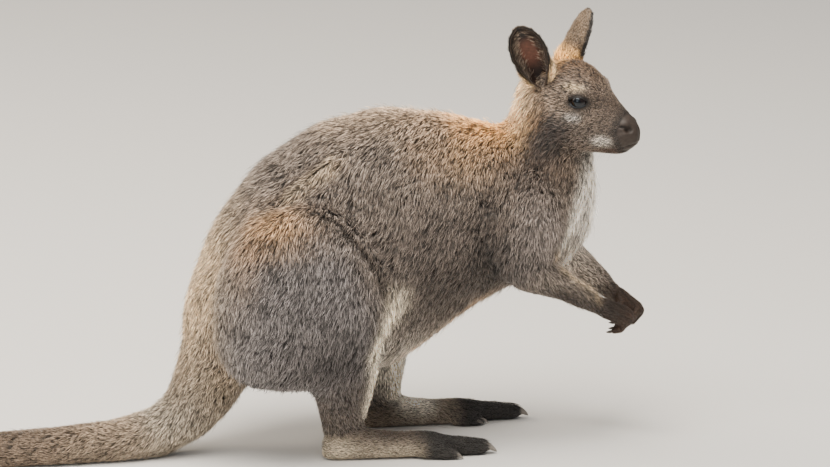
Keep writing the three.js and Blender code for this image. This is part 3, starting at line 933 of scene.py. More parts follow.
@dataclass
class Skin:
    """The skin of the whole animal, inside the solids by the depth of the coat."""

    finder: PartFinder
    head: Head
    markings: Markings
    voxel: float = 2.0 * MM
    overlap: float = 0.6 * MM
    smoothing: int = 60
    body_share: float = 0.22
    lid_reach: tuple[float, float] = (11.8, 7.4)
    surface: Surface = field(init=False)
    obj: Object = field(init=False)
    parts: Array = field(init=False)
    colours: Array = field(init=False)
    bare: Array = field(init=False)
    folded: Array = field(init=False)

    def build(self) -> Object:
        """Makes the skin as one closed mesh.

        Returns:
            The skin's object, without its lids and ears.
        """
        self.obj = self.one_hull()
        self.shrink()
        self.thin_out()
        self.refine()
        self.sculpt()
        self.measure()
        return self.obj

    def one_hull(self) -> Object:
        """One closed mesh round all solids, grown a little so that they overlap."""
        obj = triangles_mesh("skin", self.finder.places, self.finder.triangles)
        choose(obj)
        bpy.ops.object.mode_set(mode="EDIT")
        bpy.ops.mesh.select_all(action="SELECT")
        bpy.ops.mesh.remove_doubles(threshold=0.02 * MM)
        bpy.ops.object.mode_set(mode="OBJECT")
        finish_with(obj, "DISPLACE", strength=self.overlap, mid_level=0.0, direction="NORMAL")
        finish_with(obj, "REMESH", mode="VOXEL", voxel_size=self.voxel, use_smooth_shade=True)
        return obj

    def shrink(self) -> None:
        """Smooths the facets away, least on small forms, and sinks the skin below the coat."""
        surface = Surface.of(self.obj)
        parts = self.finder.parts(surface.places)
        evens = surface.spread(table("evens")[parts][:, None], 4)[:, 0]
        surface.places = surface.spread(surface.places, self.smoothing, evens**2)
        depth = self.sizes(surface, parts)[:, 0]
        steps = 5
        for _ in range(steps):
            surface.places = surface.places - surface.normals() * (depth * MM / steps)[:, None]
            surface.places = surface.spread(surface.places, 2, 0.6 * evens)
        set_places(self.obj, surface.places)

    def sizes(self, surface: Surface, parts: Array) -> Array:
        """The coat's depth, length, width and spacing over the skin.

        Args:
            surface: The skin's surface, or the hull's.
            parts: The number of each vertex's part.

        Returns:
            Four sizes in millimetres for each vertex.
        """
        sizes = np.stack([table(name)[parts] for name in ("depth", "length", "width", "spacing")], 1)
        sizes = surface.spread(sizes, 14)
        places = surface.places
        near = self.head.local(places)
        snout = ramp(near[:, 0], -14, 48) * self.near_face(places) * (parts == PARTS.index(Part.HEAD))
        sizes *= 1 - snout[:, None] * np.array([0.85, 0.66, 0.4, 0.25])
        for side in (-1, 1):
            u, v, w = self.eye_places(places, side).T
            reach = np.sqrt((u / 13) ** 2 + (v / 8.5) ** 2) + 10 * (w < 0)
            sizes *= 1 - ramp(reach, 2.3, 0.9)[:, None] * np.array([0.7, 0.6, 0.25, 0.1])
        low = 0.15 + 0.85 * ramp(places[:, 2] / MM, 2.0, 12.0)
        sizes[:, 0] *= low
        near[:, 1] = np.abs(near[:, 1])
        folded = places / MM * [1, 0, 1] + np.abs(places / MM) * [0, 1, 0]
        for growth in GROWTHS:
            share = within(near if growth.in_head else folded, growth.at, growth.radii)
            sizes[:, 1] *= 1 + (growth.length - 1) * share
            sizes[:, 0] *= 1 + (growth.lift - 1) * share * growth.deepens
        return sizes

    def thin_out(self) -> None:
        """Takes most triangles out of the smooth body and leaves those of the head, paws and feet."""
        surface = Surface.of(self.obj)
        parts = self.finder.parts(surface.places)
        fine = [PARTS.index(part) for part in (Part.HEAD, Part.PAW, Part.FOOT, Part.EAR)]
        group = self.obj.vertex_groups.new(name="body")
        group.add(np.flatnonzero(~np.isin(parts, fine)).tolist(), 1.0, "REPLACE")
        finish_with(self.obj, "DECIMATE", ratio=self.body_share, vertex_group="body")
        self.obj.vertex_groups.clear()

    def refine(self) -> None:
        """Subdivides the face, the nose and mouth once more, and the forepaws."""
        for centre, reach in REFINED:
            places = places_of(self.obj)
            local = self.head.local(places) if reach[0] != PAWS_REACH else places / MM
            marks = np.linalg.norm((local - np.array(centre)) / np.array(reach), axis=1) < 1
            mesh = self.obj.data
            corners = np.empty(len(mesh.loops), np.int32)
            mesh.loops.foreach_get("vertex_index", corners)
            starts = np.empty(len(mesh.polygons), np.int32)
            mesh.polygons.foreach_get("loop_start", starts)
            whole = np.logical_and.reduceat(marks[corners], starts)
            choose(self.obj)
            bpy.ops.object.mode_set(mode="EDIT")
            bpy.ops.mesh.select_mode(type="FACE")
            bpy.ops.mesh.select_all(action="DESELECT")
            bpy.ops.object.mode_set(mode="OBJECT")
            mesh.polygons.foreach_set("select", whole)
            bpy.ops.object.mode_set(mode="EDIT")
            bpy.ops.mesh.subdivide(number_cuts=1, smoothness=0.0, quadcorner="INNERVERT")
            bpy.ops.mesh.select_all(action="SELECT")
            bpy.ops.mesh.quads_convert_to_tris()
            bpy.ops.object.mode_set(mode="OBJECT")

    def sculpt(self) -> None:
        """Gives the head its forms, the mouth and nostrils, the sockets of the eyes, and the body its folds."""
        surface = Surface.of(self.obj)
        near = self.head.local(surface.places)
        close = np.linalg.norm(near, axis=1) < 110
        surface.places = surface.spread(surface.places, 6, 0.5 * close)
        near = self.head.local(surface.places)
        near[:, 1] = np.abs(near[:, 1])
        rise = np.zeros(len(near))
        for swell in [*SWELLS, *NOSTRILS]:
            rise += close * swell.height * within(near, swell.at, swell.radii)
        mouth = distance_to_line(near, MOUTH_LINE)
        rise -= close * MOUTH_DEPTH * np.exp(-((mouth / MOUTH_WIDTH) ** 2))
        rise += close * 0.7 * np.exp(-(((mouth - 3.4) / 2.0) ** 2))
        tree = surface.tree()
        for trail in TRAILS:
            rise -= trail.depth * self.on_trail(trail, surface.places, tree)
        surface.places = surface.places + surface.normals() * (rise * MM)[:, None]
        for side in (-1, 1):
            surface.places = self.open_socket(surface.places, side)
        surface.places[:, 2] = np.maximum(surface.places[:, 2], 0.3 * MM)
        set_places(self.obj, surface.places)

    def on_trail(self, trail: Trail, places: Array, tree: BVHTree) -> Array:
        """How near each place is to a trail laid down on the skin.

        Args:
            trail: The trail.
            places: Points in the model's frame.
            tree: A search tree over the skin.

        Returns:
            1 on the trail and 0 away from it.
        """
        share = np.zeros(len(places))
        line = np.array(trail.line, float) * MM
        steps = np.linspace(0, len(line) - 1, 10 * len(line))
        dense = np.stack([np.interp(steps, np.arange(len(line)), line[:, k]) for k in range(3)], 1)
        width = trail.width * MM
        ends = np.minimum(np.arange(len(dense)), np.arange(len(dense))[::-1]) / len(line)
        faded = ramp(ends, -0.3, 1.2)
        for side in trail.sides:
            laid = np.array([tree.find_nearest(point)[0] for point in (dense * [1, side, 1]).tolist()])
            beside = (places > laid.min(0) - 3 * width) & (places < laid.max(0) + 3 * width)
            near = np.flatnonzero(beside.all(1))
            gaps = np.linalg.norm(places[near, None] - laid[None], axis=2)
            share[near] = np.maximum(share[near], (faded * np.exp(-((gaps / width) ** 2))).max(1))
        return share

    def open_socket(self, places: Array, side: int) -> Array:
        """Sinks the skin below the eyeball inside the lids."""
        u, v, w = self.eye_places(places, side).T
        reach = (u / self.lid_reach[0]) ** 2 + (v / self.lid_reach[1]) ** 2
        radius = self.head.eye_radius / MM
        ball = np.sqrt(np.maximum(radius**2 - u**2 - v**2, 0))
        sink = np.maximum(w - ball + 2.2, 0) * ramp(reach, 1.0, 0.86)
        over = np.maximum(ball + 0.7 - w, 0) * ramp(reach, 0.95, 1.1) * (ball > 0)
        return places - ((sink - over) * (w > 0) * MM)[:, None] * self.eye_axes(side)[2]

    def eye_axes(self, side: int) -> Array:
        """The lids' directions: towards the nose, up, and out of the head."""
        out = unit(self.head.turned([0.14, side, 0.06]))
        ahead = unit(self.head.ahead - (self.head.ahead @ out) * out)
        up = np.cross(out, ahead) * side
        return np.stack([ahead, up * np.sign(up[2]), out])

    def eye_places(self, places: Array, side: int) -> Array:
        """Places from the eye's centre along the lids' directions, in millimetres."""
        return (places - self.head.eyes[side]) @ self.eye_axes(side).T / MM

    def measure(self) -> None:
        """Keeps the finished surface, its parts and its colours."""
        self.surface = Surface.of(self.obj)
        places = self.surface.places
        self.parts = self.finder.parts(places)
        colours = self.markings.colours(places, self.parts)
        # the forearm's marks, its painted underside shade among them, are spread less so that they stay sharp
        forearm = 0.75 * (self.parts == PARTS.index(Part.FOREARM))
        colours = self.surface.spread(colours, 10, 1 - np.maximum(0.9 * self.near_face(places), forearm))
        colours = self.markings.toes(colours, places, self.parts)
        tree = self.surface.tree()
        self.folded = np.zeros(len(places))
        for trail in TRAILS:
            share = self.on_trail(trail, places, tree)
            colours += trail.strength * share[:, None] * (np.array(srgb(trail.colour)) - colours)
            self.folded = np.maximum(self.folded, share * (trail.depth > 4.9))
        near = self.head.local(places)
        near[:, 1] = np.abs(near[:, 1])
        ahead = near[:, 0] - 0.3 * np.abs(near[:, 2] + 34)
        bare = self.near_face(places) * ramp(ahead, 43, 49)
        velvet = self.near_face(places) * ramp(ahead, 31, 46)
        colours += (velvet * 0.95)[:, None] * (np.array(srgb(MUZZLE)) - colours)
        for side in (-1, 1):
            u, v, w = self.eye_places(places, side).T
            reach = (u / 13) ** 2 + (v / 8.5) ** 2
            bare = np.maximum(bare, (w > 0) * ramp(reach, 1.1, 0.8))
            dark = (0.9 * (w > 0) * ramp(reach, 1.3, 0.95))[:, None]
            colours += dark * (np.array(srgb(EYE_DARK)) - colours)
        low = self.surface.normals()[:, 2] < -0.6
        soles = low & np.isin(self.parts, [PARTS.index(Part.FOOT)])
        self.bare = np.maximum(bare, soles)
        # painted shade in the nostrils and along the groove of the mouth
        nostril_shade = np.zeros(len(near))
        for pit in NOSTRILS:
            nostril_shade = np.maximum(nostril_shade, within(near, pit.at, pit.radii))
        lips = np.exp(-((distance_to_line(near, MOUTH_LINE) / 0.9) ** 2)) * (near[:, 0] > 20)
        colours *= 1 - 0.9 * np.maximum(nostril_shade, 0.7 * lips * self.near_face(places))[:, None]
        self.colours = colours

    def near_face(self, places: Array) -> Array:
        """1 on the head and 0 away from it."""
        return ramp(np.linalg.norm(self.head.local(places), axis=1), 120, 90)

    def write(self) -> None:
        """Stores the colours in the mesh."""
        write_attribute(self.obj, "coat", "FLOAT_COLOR", self.colours)
        write_attribute(self.obj, "bare", "FLOAT", self.bare)


@dataclass
class Eyelids:
    """The bare dark lids round one eye, their inner edge on the eyeball and their outer edge in the skin."""

    skin: Skin
    side: int
    long: float = 10.3
    upper: float = 5.5
    lower: float = 6.0
    around: int = 72
    rows: tuple = (  # share of the rim's size, rise over the eyeball or skin, and how far it is skin
        (0.95, -1.6, 0.0),
        (0.985, 0.15, 0.0),
        (1.03, 0.8, 0.0),
        (1.09, 1.1, 0.1),
        (1.17, 1.0, 0.4),
        (1.26, 0.7, 0.75),
        (1.38, 0.1, 1.0),
        (1.52, -0.9, 1.0),
    )
    colour: str = "1d1815"
    rim_colour: str = "0a0908"
    # blue-grey painted highlight on the lower lid's rim, as if lit from above
    wet_colour: str = "222a31"

    def build(self) -> Object:
        """Makes the ring of the lids.

        Returns:
            The ring, which is then joined to the skin.
        """
        radius = self.skin.head.eye_radius / MM
        turn = np.linspace(0, 2 * math.pi, self.around + 1)
        height = np.where(np.sin(turn) > 0, self.upper, self.lower)
        rise = height * np.sign(np.sin(turn)) * np.abs(np.sin(turn)) ** 1.25
        rim = np.stack([self.long * np.cos(turn), rise], 1)
        axes = self.skin.eye_axes(self.side)
        centre = self.skin.head.eyes[self.side]
        tree = self.skin.surface.tree()
        levels = []
        for share, lift, skinned in self.rows:
            u, v = (rim * share).T
            ball = np.sqrt(np.maximum(radius**2 - u**2 - v**2, 3.2**2))
            outer = [self.skin_level(tree, centre, axes, x, y) for x, y in (rim * self.rows[-1][0])]
            w = ball + lift + skinned * (np.array(outer) - ball)
            levels.append(np.stack([u, v, w], 1))
        places = np.array(levels)
        ring = shaped_grid(f"lids_{self.side}", places @ axes * MM + centre, wrap=True)
        shares = self.share_of_rim(places_of(ring), centre, axes)[:, None]
        u, v = ((places_of(ring) - centre) @ axes[:2].T / MM).T
        # the lower rim takes the painted highlight colour
        low = (ramp(v, -2.0, -4.0) * ramp(np.hypot(u / self.long, v / self.lower), 1.1, 1.06))[:, None]
        rim = np.array(srgb(self.rim_colour)) * (1 - low) + np.array(srgb(self.wet_colour)) * low
        colours = rim * shares + np.array(srgb(self.colour)) * (1 - shares)
        write_attribute(ring, "coat", "FLOAT_COLOR", colours)
        write_attribute(ring, "bare", "FLOAT", np.ones(len(colours)))
        choose(ring)
        bpy.ops.object.mode_set(mode="EDIT")
        bpy.ops.mesh.select_all(action="SELECT")
        bpy.ops.mesh.normals_make_consistent(inside=False)
        bpy.ops.object.mode_set(mode="OBJECT")
        finish_with(ring, "SOLIDIFY", thickness=0.5 * MM, offset=-1.0)
        return ring

    def skin_level(self, tree: BVHTree, centre: Array, axes: Array, x: float, y: float) -> float:
        """How far out of the head the skin is at a place of the lids' plane, in millimetres."""
        start = centre + (x * axes[0] + y * axes[1] + 40 * axes[2]) * MM
        hit = tree.ray_cast(Vector(start), Vector(-axes[2]))[0]
        return 5.0 if hit is None else float((np.array(hit) - centre) @ axes[2] / MM)

    def share_of_rim(self, places: Array, centre: Array, axes: Array) -> Array:
        """1 at the wet inner rim and 0 from the middle of the lid outwards."""
        u, v = ((places - centre) @ axes[:2].T / MM).T
        reach = np.sqrt((u / self.long) ** 2 + (v / np.where(v > 0, self.upper, self.lower)) ** 2)
        return ramp(reach, 1.3, 1.12)


@dataclass
class Eye:
    """One eyeball with its bulging cornea."""

    skin: Skin
    side: int

    def build(self, material: bpy.types.Material) -> Object:
        """Makes the eyeball and puts it in the place of the solid one."""
        name = "right" if self.side < 0 else "left"
        centre = self.skin.head.eyes[self.side]
        radius = self.skin.head.eye_radius
        bpy.ops.object.select_all(action="DESELECT")
        bpy.ops.mesh.primitive_uv_sphere_add(segments=64, ring_count=40, radius=radius)
        ball = bpy.context.object
        ball.name = ball.data.name = f"eyeball_{name}"
        places = places_of(ball)
        out = unit(places)[:, 2]
        bulge = 0.35 * MM * ramp(out, 0.72, 1.0)
        places = places + unit(places) * bulge[:, None]
        axes = self.skin.eye_axes(self.side)
        set_places(ball, places @ axes * (1 if np.linalg.det(axes) > 0 else 1) + centre)
        if np.linalg.det(axes) < 0:
            choose(ball)
            bpy.ops.object.mode_set(mode="EDIT")
            bpy.ops.mesh.select_all(action="SELECT")
            bpy.ops.mesh.flip_normals()
            bpy.ops.object.mode_set(mode="OBJECT")
        write_attribute(ball, "ring", "FLOAT", np.arccos(np.clip(out, -1, 1)))
        choose(ball)
        bpy.ops.object.shade_smooth()
        dress(ball, material)
        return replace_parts(ball, f"eye_{name}")


# ---- Ears ---------------------------------------------------------------------------------------


@dataclass
class Ear:
    """One ear: a thin cup of gristle and skin with a rolled rim, its base buried in the head."""

    head: Head
    name: str
    base: tuple[float, float, float]
    aim: tuple[float, float, float]
    opening: tuple[float, float, float]
    length: float = 76.0
    # Along the ear from its base: its place, half its width, the cup's depth, and how far its edges close, in turns.
    profile: tuple = (
        (-0.12, 4.0, 4.5, 0.45),
        (-0.02, 8.6, 9.6, 0.43),
        (0.05, 11.8, 12.4, 0.4),
        (0.14, 14.8, 13.2, 0.35),
        (0.25, 17.4, 13.2, 0.3),
        (0.5, 20.9, 10.8, 0.27),
        (0.72, 19.3, 7.6, 0.26),
        (0.88, 14.2, 4.6, 0.25),
        (0.965, 8.0, 2.4, 0.25),
        (1.0, 3.2, 1.0, 0.25),
    )
    wall: float = 1.5
    across: int = 27
    rows: int = 32
    rim_colour: str = "1b120d"
    inside_colour: str = "643d2f"
    # painted shade deep in the hollow, towards the base
    deep_colour: str = "24140f"
    back_colour: str = "5d4c40"
    base_colour: str = "c39656"

    def axes(self) -> Array:
        """The ear's directions: out of its opening, across it, and to its tip."""
        aim = unit(self.head.turned(self.aim))
        front = self.head.turned(self.opening)
        front = unit(front - (front @ aim) * aim)
        return np.stack([front, np.cross(aim, front), aim])

    def cup(self, along: Array, turn: Array, inward: float = 0.0) -> Array:
        """Places on the cup's wall.

        Args:
            along: Shares of the ear's length.
            turn: Shares of the way from one edge, at -1, to the other, at 1.
            inward: How far inside the wall, in millimetres.

        Returns:
            Places in the model's frame.
        """
        stations = np.array(self.profile)
        half, deep, closing = (np.interp(along, stations[:, 0], stations[:, k]) for k in (1, 2, 3))
        angle = turn * closing * 2 * math.pi
        folds = 0.9 * np.cos(turn * 9.0) * ramp(along, 0.75, 0.3) * ramp(np.abs(turn), 0.9, 0.4)
        reach = 1 - (inward + np.maximum(folds, 0) * (inward > 0)) / np.maximum(deep, 2.0)
        ahead = -(deep * reach) * np.cos(angle)
        side = (half - inward) * np.sin(angle)
        ahead = ahead + 1.6 * ramp(np.abs(turn), 0.86, 1.0)
        up = along * self.length
        axes = self.axes()
        local = np.stack([ahead, side, up], -1)
        return local @ axes * MM + self.head.world(self.base)

    def build(self) -> Object:
        """Makes the ear's wall, to be joined to the skin."""
        start, end = self.profile[0][0], self.profile[-1][0]
        share = np.linspace(0, 1, self.rows)
        along, turn = np.meshgrid(start + (end - start) * share, np.linspace(-1, 1, self.across), indexing="ij")
        ear = shaped_grid(f"wall_{self.name}", self.cup(along, turn))
        outward = self.is_outward(ear)
        if not outward:
            choose(ear)
            bpy.ops.object.mode_set(mode="EDIT")
            bpy.ops.mesh.select_all(action="SELECT")
            bpy.ops.mesh.flip_normals()
            bpy.ops.object.mode_set(mode="OBJECT")
        finish_with(ear, "SOLIDIFY", thickness=self.wall * MM, offset=-1.0)
        finish_with(ear, "SUBSURF", levels=1, render_levels=1)
        self.paint(ear)
        return ear

    def is_outward(self, ear: Object) -> bool:
        """Whether the sheet's faces look away from the opening."""
        surface = Surface.of(ear)
        middle = surface.places - surface.places.mean(0)
        return float(np.mean(np.sum(surface.normals() * middle, 1))) > 0

    def paint(self, ear: Object) -> None:
        """Stores the colours: a red-brown hollow with a dark rim and painted shade in its depth, and a grey-brown
        back.
        """
        surface = Surface.of(ear)
        along, turn, inner = self.spots(surface.places, surface.normals())
        back, inside = np.array(srgb(self.back_colour)), np.array(srgb(self.inside_colour))
        rim, deep = np.array(srgb(self.rim_colour)), np.array(srgb(self.deep_colour))
        colours = back + inner[:, None] * (inside - back)
        # painted shade deep in the hollow, towards the ear's base
        colours += (inner * ramp(along, 0.42, 0.12))[:, None] * (deep - colours)
        edge = np.maximum(ramp(np.abs(turn), 0.35, 0.7), ramp(along, 0.6, 0.85)) * inner
        colours += edge[:, None] * (rim - colours)
        write_attribute(ear, "coat", "FLOAT_COLOR", colours)
        write_attribute(ear, "bare", "FLOAT", 0.25 + 0.5 * inner)

    def spots(self, places: Array, normals: Array) -> tuple[Array, Array, Array]:
        """Where places of the wall are: along the ear, across it, and 1 on its inner side."""
        axes = self.axes()
        ahead, side, up = ((places - self.head.world(self.base)) @ axes.T / MM).T
        along = up / self.length
        stations = np.array(self.profile)
        half, deep, closing = (np.interp(along, stations[:, 0], stations[:, k]) for k in (1, 2, 3))
        turn = np.arctan2(side / half, -ahead / deep) / (2 * math.pi * closing)
        radial = ahead[:, None] * axes[0] + side[:, None] * axes[1]
        inner = (np.sum(normals * radial, 1) < 0).astype(float)
        return along, turn, inner


# ---- The coat -----------------------------------------------------------------------------------

# A tuft: its root, left, right and ridge points at its knee, and its tip. Six triangles close it.
TUFT_CORNERS = 5
TUFT_FACES = np.array([[0, 2, 1], [0, 3, 2], [0, 1, 3], [4, 1, 2], [4, 2, 3], [4, 3, 1]])
TUFT_ALONG = np.array([0.0, 0.42, 0.42, 0.42, 1.0])
TUFT_PATCH = 0.003 * np.array([[0.0, 0.0], [-0.5, 0.42], [0.5, 0.42], [0.0, 0.42], [0.0, 1.0]])
MOST_TUFTS = 33000  # in one piece, so that it stays under 200,000 triangles
KNEE = 0.42


@dataclass
class Roots:
    """Where tufts grow and how: one row for each."""

    places: Array
    normals: Array
    flow: Array
    depth: Array
    length: Array
    width: Array
    colours: Array
    parts: Array

    def only(self, chosen: Array) -> "Roots":
        """The chosen rows."""
        return Roots(*(getattr(self, name)[chosen] for name in self.__dataclass_fields__))


@dataclass
class Coat:
    """The fur: tufts over the skin and the ears' backs, each lying the way that the hair grows."""

    skin: Skin
    head: Head
    ears: list[Ear]
    claws: list[Object]
    clump_mm: float = 5.0
    thin: float = 3.0
    rng: np.random.Generator = field(default_factory=lambda: np.random.default_rng(SEED))

    def build(self, material: bpy.types.Material) -> list[Object]:
        """Grows the tufts and splits them into pieces.

        Args:
            material: The fur.

        Returns:
            The pieces of the coat.
        """
        roots = self.grow()
        skin, claws = self.skin.surface, [Surface.of(claw) for claw in self.claws]
        places, triangles = [skin.places], [skin.triangles]
        for claw in claws:
            triangles.append(claw.triangles + sum(map(len, places)))
            places.append(claw.places)
        tree = Surface(np.concatenate(places), skin.edges, np.concatenate(triangles)).tree()
        pieces = []
        for name, parts in COAT_PIECES.items():
            numbers = [PARTS.index(part) for part in parts]
            mine = roots.only(np.flatnonzero(np.isin(roots.parts, numbers)))
            order = np.argsort(mine.places[:, 0], kind="stable")
            bands = np.array_split(order, max(1, math.ceil(len(order) / MOST_TUFTS)))
            for number, band in enumerate(bands, 1):
                corners = self.tufts(mine.only(band), tree)
                label = name if len(bands) == 1 else f"{name}_{number}"
                pieces.append(self.piece(label, corners, mine.only(band), material))
        for ear in self.ears:
            roots = self.ear_roots(ear)
            pieces.append(self.piece(f"coat_ear_{ear.name}", self.lay(roots, roots.length), roots, material))
        return pieces

    def sizes(self) -> tuple[Array, ...]:
        """The coat's depth, length, width and spacing at each vertex of the skin, in millimetres."""
        surface = self.skin.surface
        sizes = self.skin.sizes(surface, self.skin.parts)
        sizes[:, 0] *= 1 - 0.5 * self.skin.folded
        sizes[:, 1] *= 1 - 0.3 * self.skin.folded
        near = self.head.local(surface.places)
        near[:, 1] = np.abs(near[:, 1])
        folded = surface.places / MM * [1, 0, 1] + np.abs(surface.places / MM) * [0, 1, 0]
        for growth in GROWTHS:
            share = within(near if growth.in_head else folded, growth.at, growth.radii)
            sizes[:, 0] *= 1 + (growth.lift - 1) * share * (1 - growth.deepens)
        for claw in (name for name in TOE_CLAWS):
            low, high = (np.array(corner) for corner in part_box(claw))
            base = (low + high) / 2 * [0, 1, 1] + low * [1, 0, 0]
            gap = np.linalg.norm(surface.places - base, axis=1) / MM
            sizes[:, 1] *= 1 + 1.1 * ramp(gap, 12, 6)
        return tuple(sizes.T)

    def flows(self) -> Array:
        """The way that the hair points at each vertex of the skin."""
        surface, parts = self.skin.surface, self.skin.parts
        normals = surface.normals()
        flow = table("flow")[parts]
        trunk = parts == PARTS.index(Part.TRUNK)
        flow[trunk, 2] -= 1.7 * np.abs(normals[trunk, 1])
        on_head = parts == PARTS.index(Part.HEAD)
        flow[on_head] = self.head.turned(flow[on_head])
        for side, name in ((-1, "right"), (1, "left")):
            arm = (np.sign(surface.places[:, 1]) == side) & (parts == PARTS.index(Part.FOREARM))
            wrist, elbow = (np.mean([np.array(c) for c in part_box(f"{n}_{name}")], 0) for n in ("paw", "upper_arm"))
            flow[arm] = unit(wrist - elbow)
        for side in (-1, 1):
            u, v, w = self.skin.eye_places(surface.places, side).T
            reach = np.sqrt((u / 14) ** 2 + (v / 10) ** 2) + 10 * (w < 0)
            away = (u[:, None] * self.skin.eye_axes(side)[0] + v[:, None] * self.skin.eye_axes(side)[1]) / 14
            flow = flow + ramp(reach, 2.0, 0.9)[:, None] * away * 1.6
        flow = unit(flow - np.sum(flow * normals, 1)[:, None] * normals)
        flow = surface.spread(flow, 24)
        return unit(flow - np.sum(flow * normals, 1)[:, None] * normals)

    def grow(self) -> Roots:
        """Spreads roots over the skin, evenly for each part's spacing."""
        surface = self.skin.surface
        depth, length, width, spacing = self.sizes()
        bare = self.skin.bare
        density = (1 / (spacing * MM) ** 2) * ramp(bare, 0.75, 0.35)
        for side in (-1, 1):
            u, v, w = self.skin.eye_places(surface.places, side).T
            reach = (u / (self.skin.lid_reach[0] + 0.6)) ** 2 + (v / (self.skin.lid_reach[1] + 0.3)) ** 2
            density[(w > -4) & (reach < 1)] = 0
        on_ear = self.skin.parts == PARTS.index(Part.EAR)
        density[on_ear] = 0
        corners = surface.triangles
        counts = np.cumsum(surface.areas() * density[corners].mean(1))
        picks = np.arange(int(counts[-1])) + self.rng.random(int(counts[-1]))
        faces = np.searchsorted(counts, picks).clip(0, len(corners) - 1)
        shares = self.rng.dirichlet((1, 1, 1), len(faces))
        chosen = corners[faces]

        def mixed(values: Array) -> Array:
            """What the roots have of a value that the vertices hold."""
            values = values if values.ndim > 1 else values[:, None]
            return np.squeeze(np.einsum("ij,ijk->ik", shares, values[chosen]))

        normals = unit(mixed(surface.normals()))
        flow = unit(mixed(self.flows()))
        return Roots(
            mixed(surface.places),
            normals,
            flow,
            mixed(depth) * MM,
            mixed(length) * MM,
            mixed(width) * MM,
            mixed(self.skin.colours),
            self.skin.parts[chosen[:, 0]],
        )

    def drift(self, places: Array, size: float) -> Array:
        """Smooth random directions that change over about this size, made of a few waves.

        Args:
            places: Points.
            size: The size in metres.

        Returns:
            A small vector for each place.
        """
        total = np.zeros_like(places)
        for _ in range(5):
            wave = self.rng.normal(size=(3, 3)) / size
            total += np.sin(places @ wave + self.rng.random(3) * 2 * math.pi)
        return total / 5

    def clumps(self, roots: Roots) -> tuple[Array, Array]:
        """For each root, the middle of the clump that it belongs to, and a number that the clump shares."""
        warp = self.drift(roots.places, 0.02) * 4 * MM
        cells = np.floor((roots.places + warp) / (self.clump_mm * MM)).astype(np.int64)
        keys = cells @ np.array([73856093, 19349663, 83492791])
        _, clump, counts = np.unique(keys, return_inverse=True, return_counts=True)
        sums = np.stack([np.bincount(clump, roots.places[:, k]) for k in range(3)], 1)
        level = self.rng.random(len(counts))
        return (sums / counts[:, None])[clump], level[clump]

    def tufts(self, roots: Roots, tree: BVHTree) -> Array:
        """The corners of each root's tuft, bent to lie over the skin.

        Args:
            roots: The roots.
            tree: A search tree over the skin.

        Returns:
            Five corners for each tuft.
        """
        count = len(roots.places)
        flow = unit(
            roots.flow
            + 0.5 * self.drift(roots.places, 0.016)
            + 0.35 * self.drift(roots.places, 0.006)
            + 0.2 * self.rng.normal(size=(count, 3))
        )
        flow = unit(flow - np.sum(flow * roots.normals, 1)[:, None] * roots.normals)
        length = roots.length * self.rng.uniform(0.72, 1.15, count)
        middles, level = self.clumps(roots)
        lift = roots.depth * (0.7 + 0.2 * level + self.rng.uniform(-0.14, 0.22, count))
        lift = lift * np.where(self.rng.random(count) < 0.07, 1.45, 1.0)
        reach = roots.places + flow * length[:, None]
        pull = ramp(roots.length / MM, 5, 14)[:, None] * 0.24
        reach = reach + pull * (middles + roots.flow * length[:, None] - reach)
        landed = self.land(reach, roots.normals, tree)
        tips = landed[:, :3] + landed[:, 3:] * lift[:, None]
        knees = roots.places * (1 - KNEE) + landed[:, :3] * KNEE
        knees = knees + unit(roots.normals + landed[:, 3:]) * (0.72 * lift + 0.06 * length)[:, None]
        return self.corners(roots, knees, tips)

    def land(self, places: Array, normals: Array, tree: BVHTree) -> Array:
        """The nearest places on the skin and the normals there, or the place itself where the skin is far."""
        landed = np.concatenate([places, normals], 1)
        for row, place in enumerate(places.tolist()):
            spot, normal, _, distance = tree.find_nearest(place, 0.014)
            if spot is not None:
                landed[row] = (*spot, *normal)
        turned = np.sum(landed[:, 3:] * normals, 1) < 0.1
        landed[turned, 3:] = normals[turned]
        return landed

    def corners(self, roots: Roots, knees: Array, tips: Array) -> Array:
        """The five corners of each tuft from its root, knee and tip."""
        side = unit(np.cross(tips - roots.places, roots.normals)) * (roots.width / 2)[:, None]
        ridge = knees + roots.normals * (roots.width * 0.3)[:, None]
        base = roots.places - roots.normals * 0.8 * MM
        corners = np.stack([base, knees - side, knees + side, ridge, tips], 1)
        corners[..., 2] = np.maximum(corners[..., 2], 0.25 * MM)
        return corners

    def lay(self, roots: Roots, length: Array) -> Array:
        """Tufts that lie straight along their flow, as on the ears."""
        count = len(roots.places)
        flow = unit(roots.flow + 0.18 * self.rng.normal(size=(count, 3)))
        run = flow * (length * self.rng.uniform(0.7, 1.15, count))[:, None]
        rise = roots.normals * (roots.depth * self.rng.uniform(0.6, 1.1, count))[:, None]
        return self.corners(roots, roots.places + run * KNEE + rise * 0.8, roots.places + run + rise)

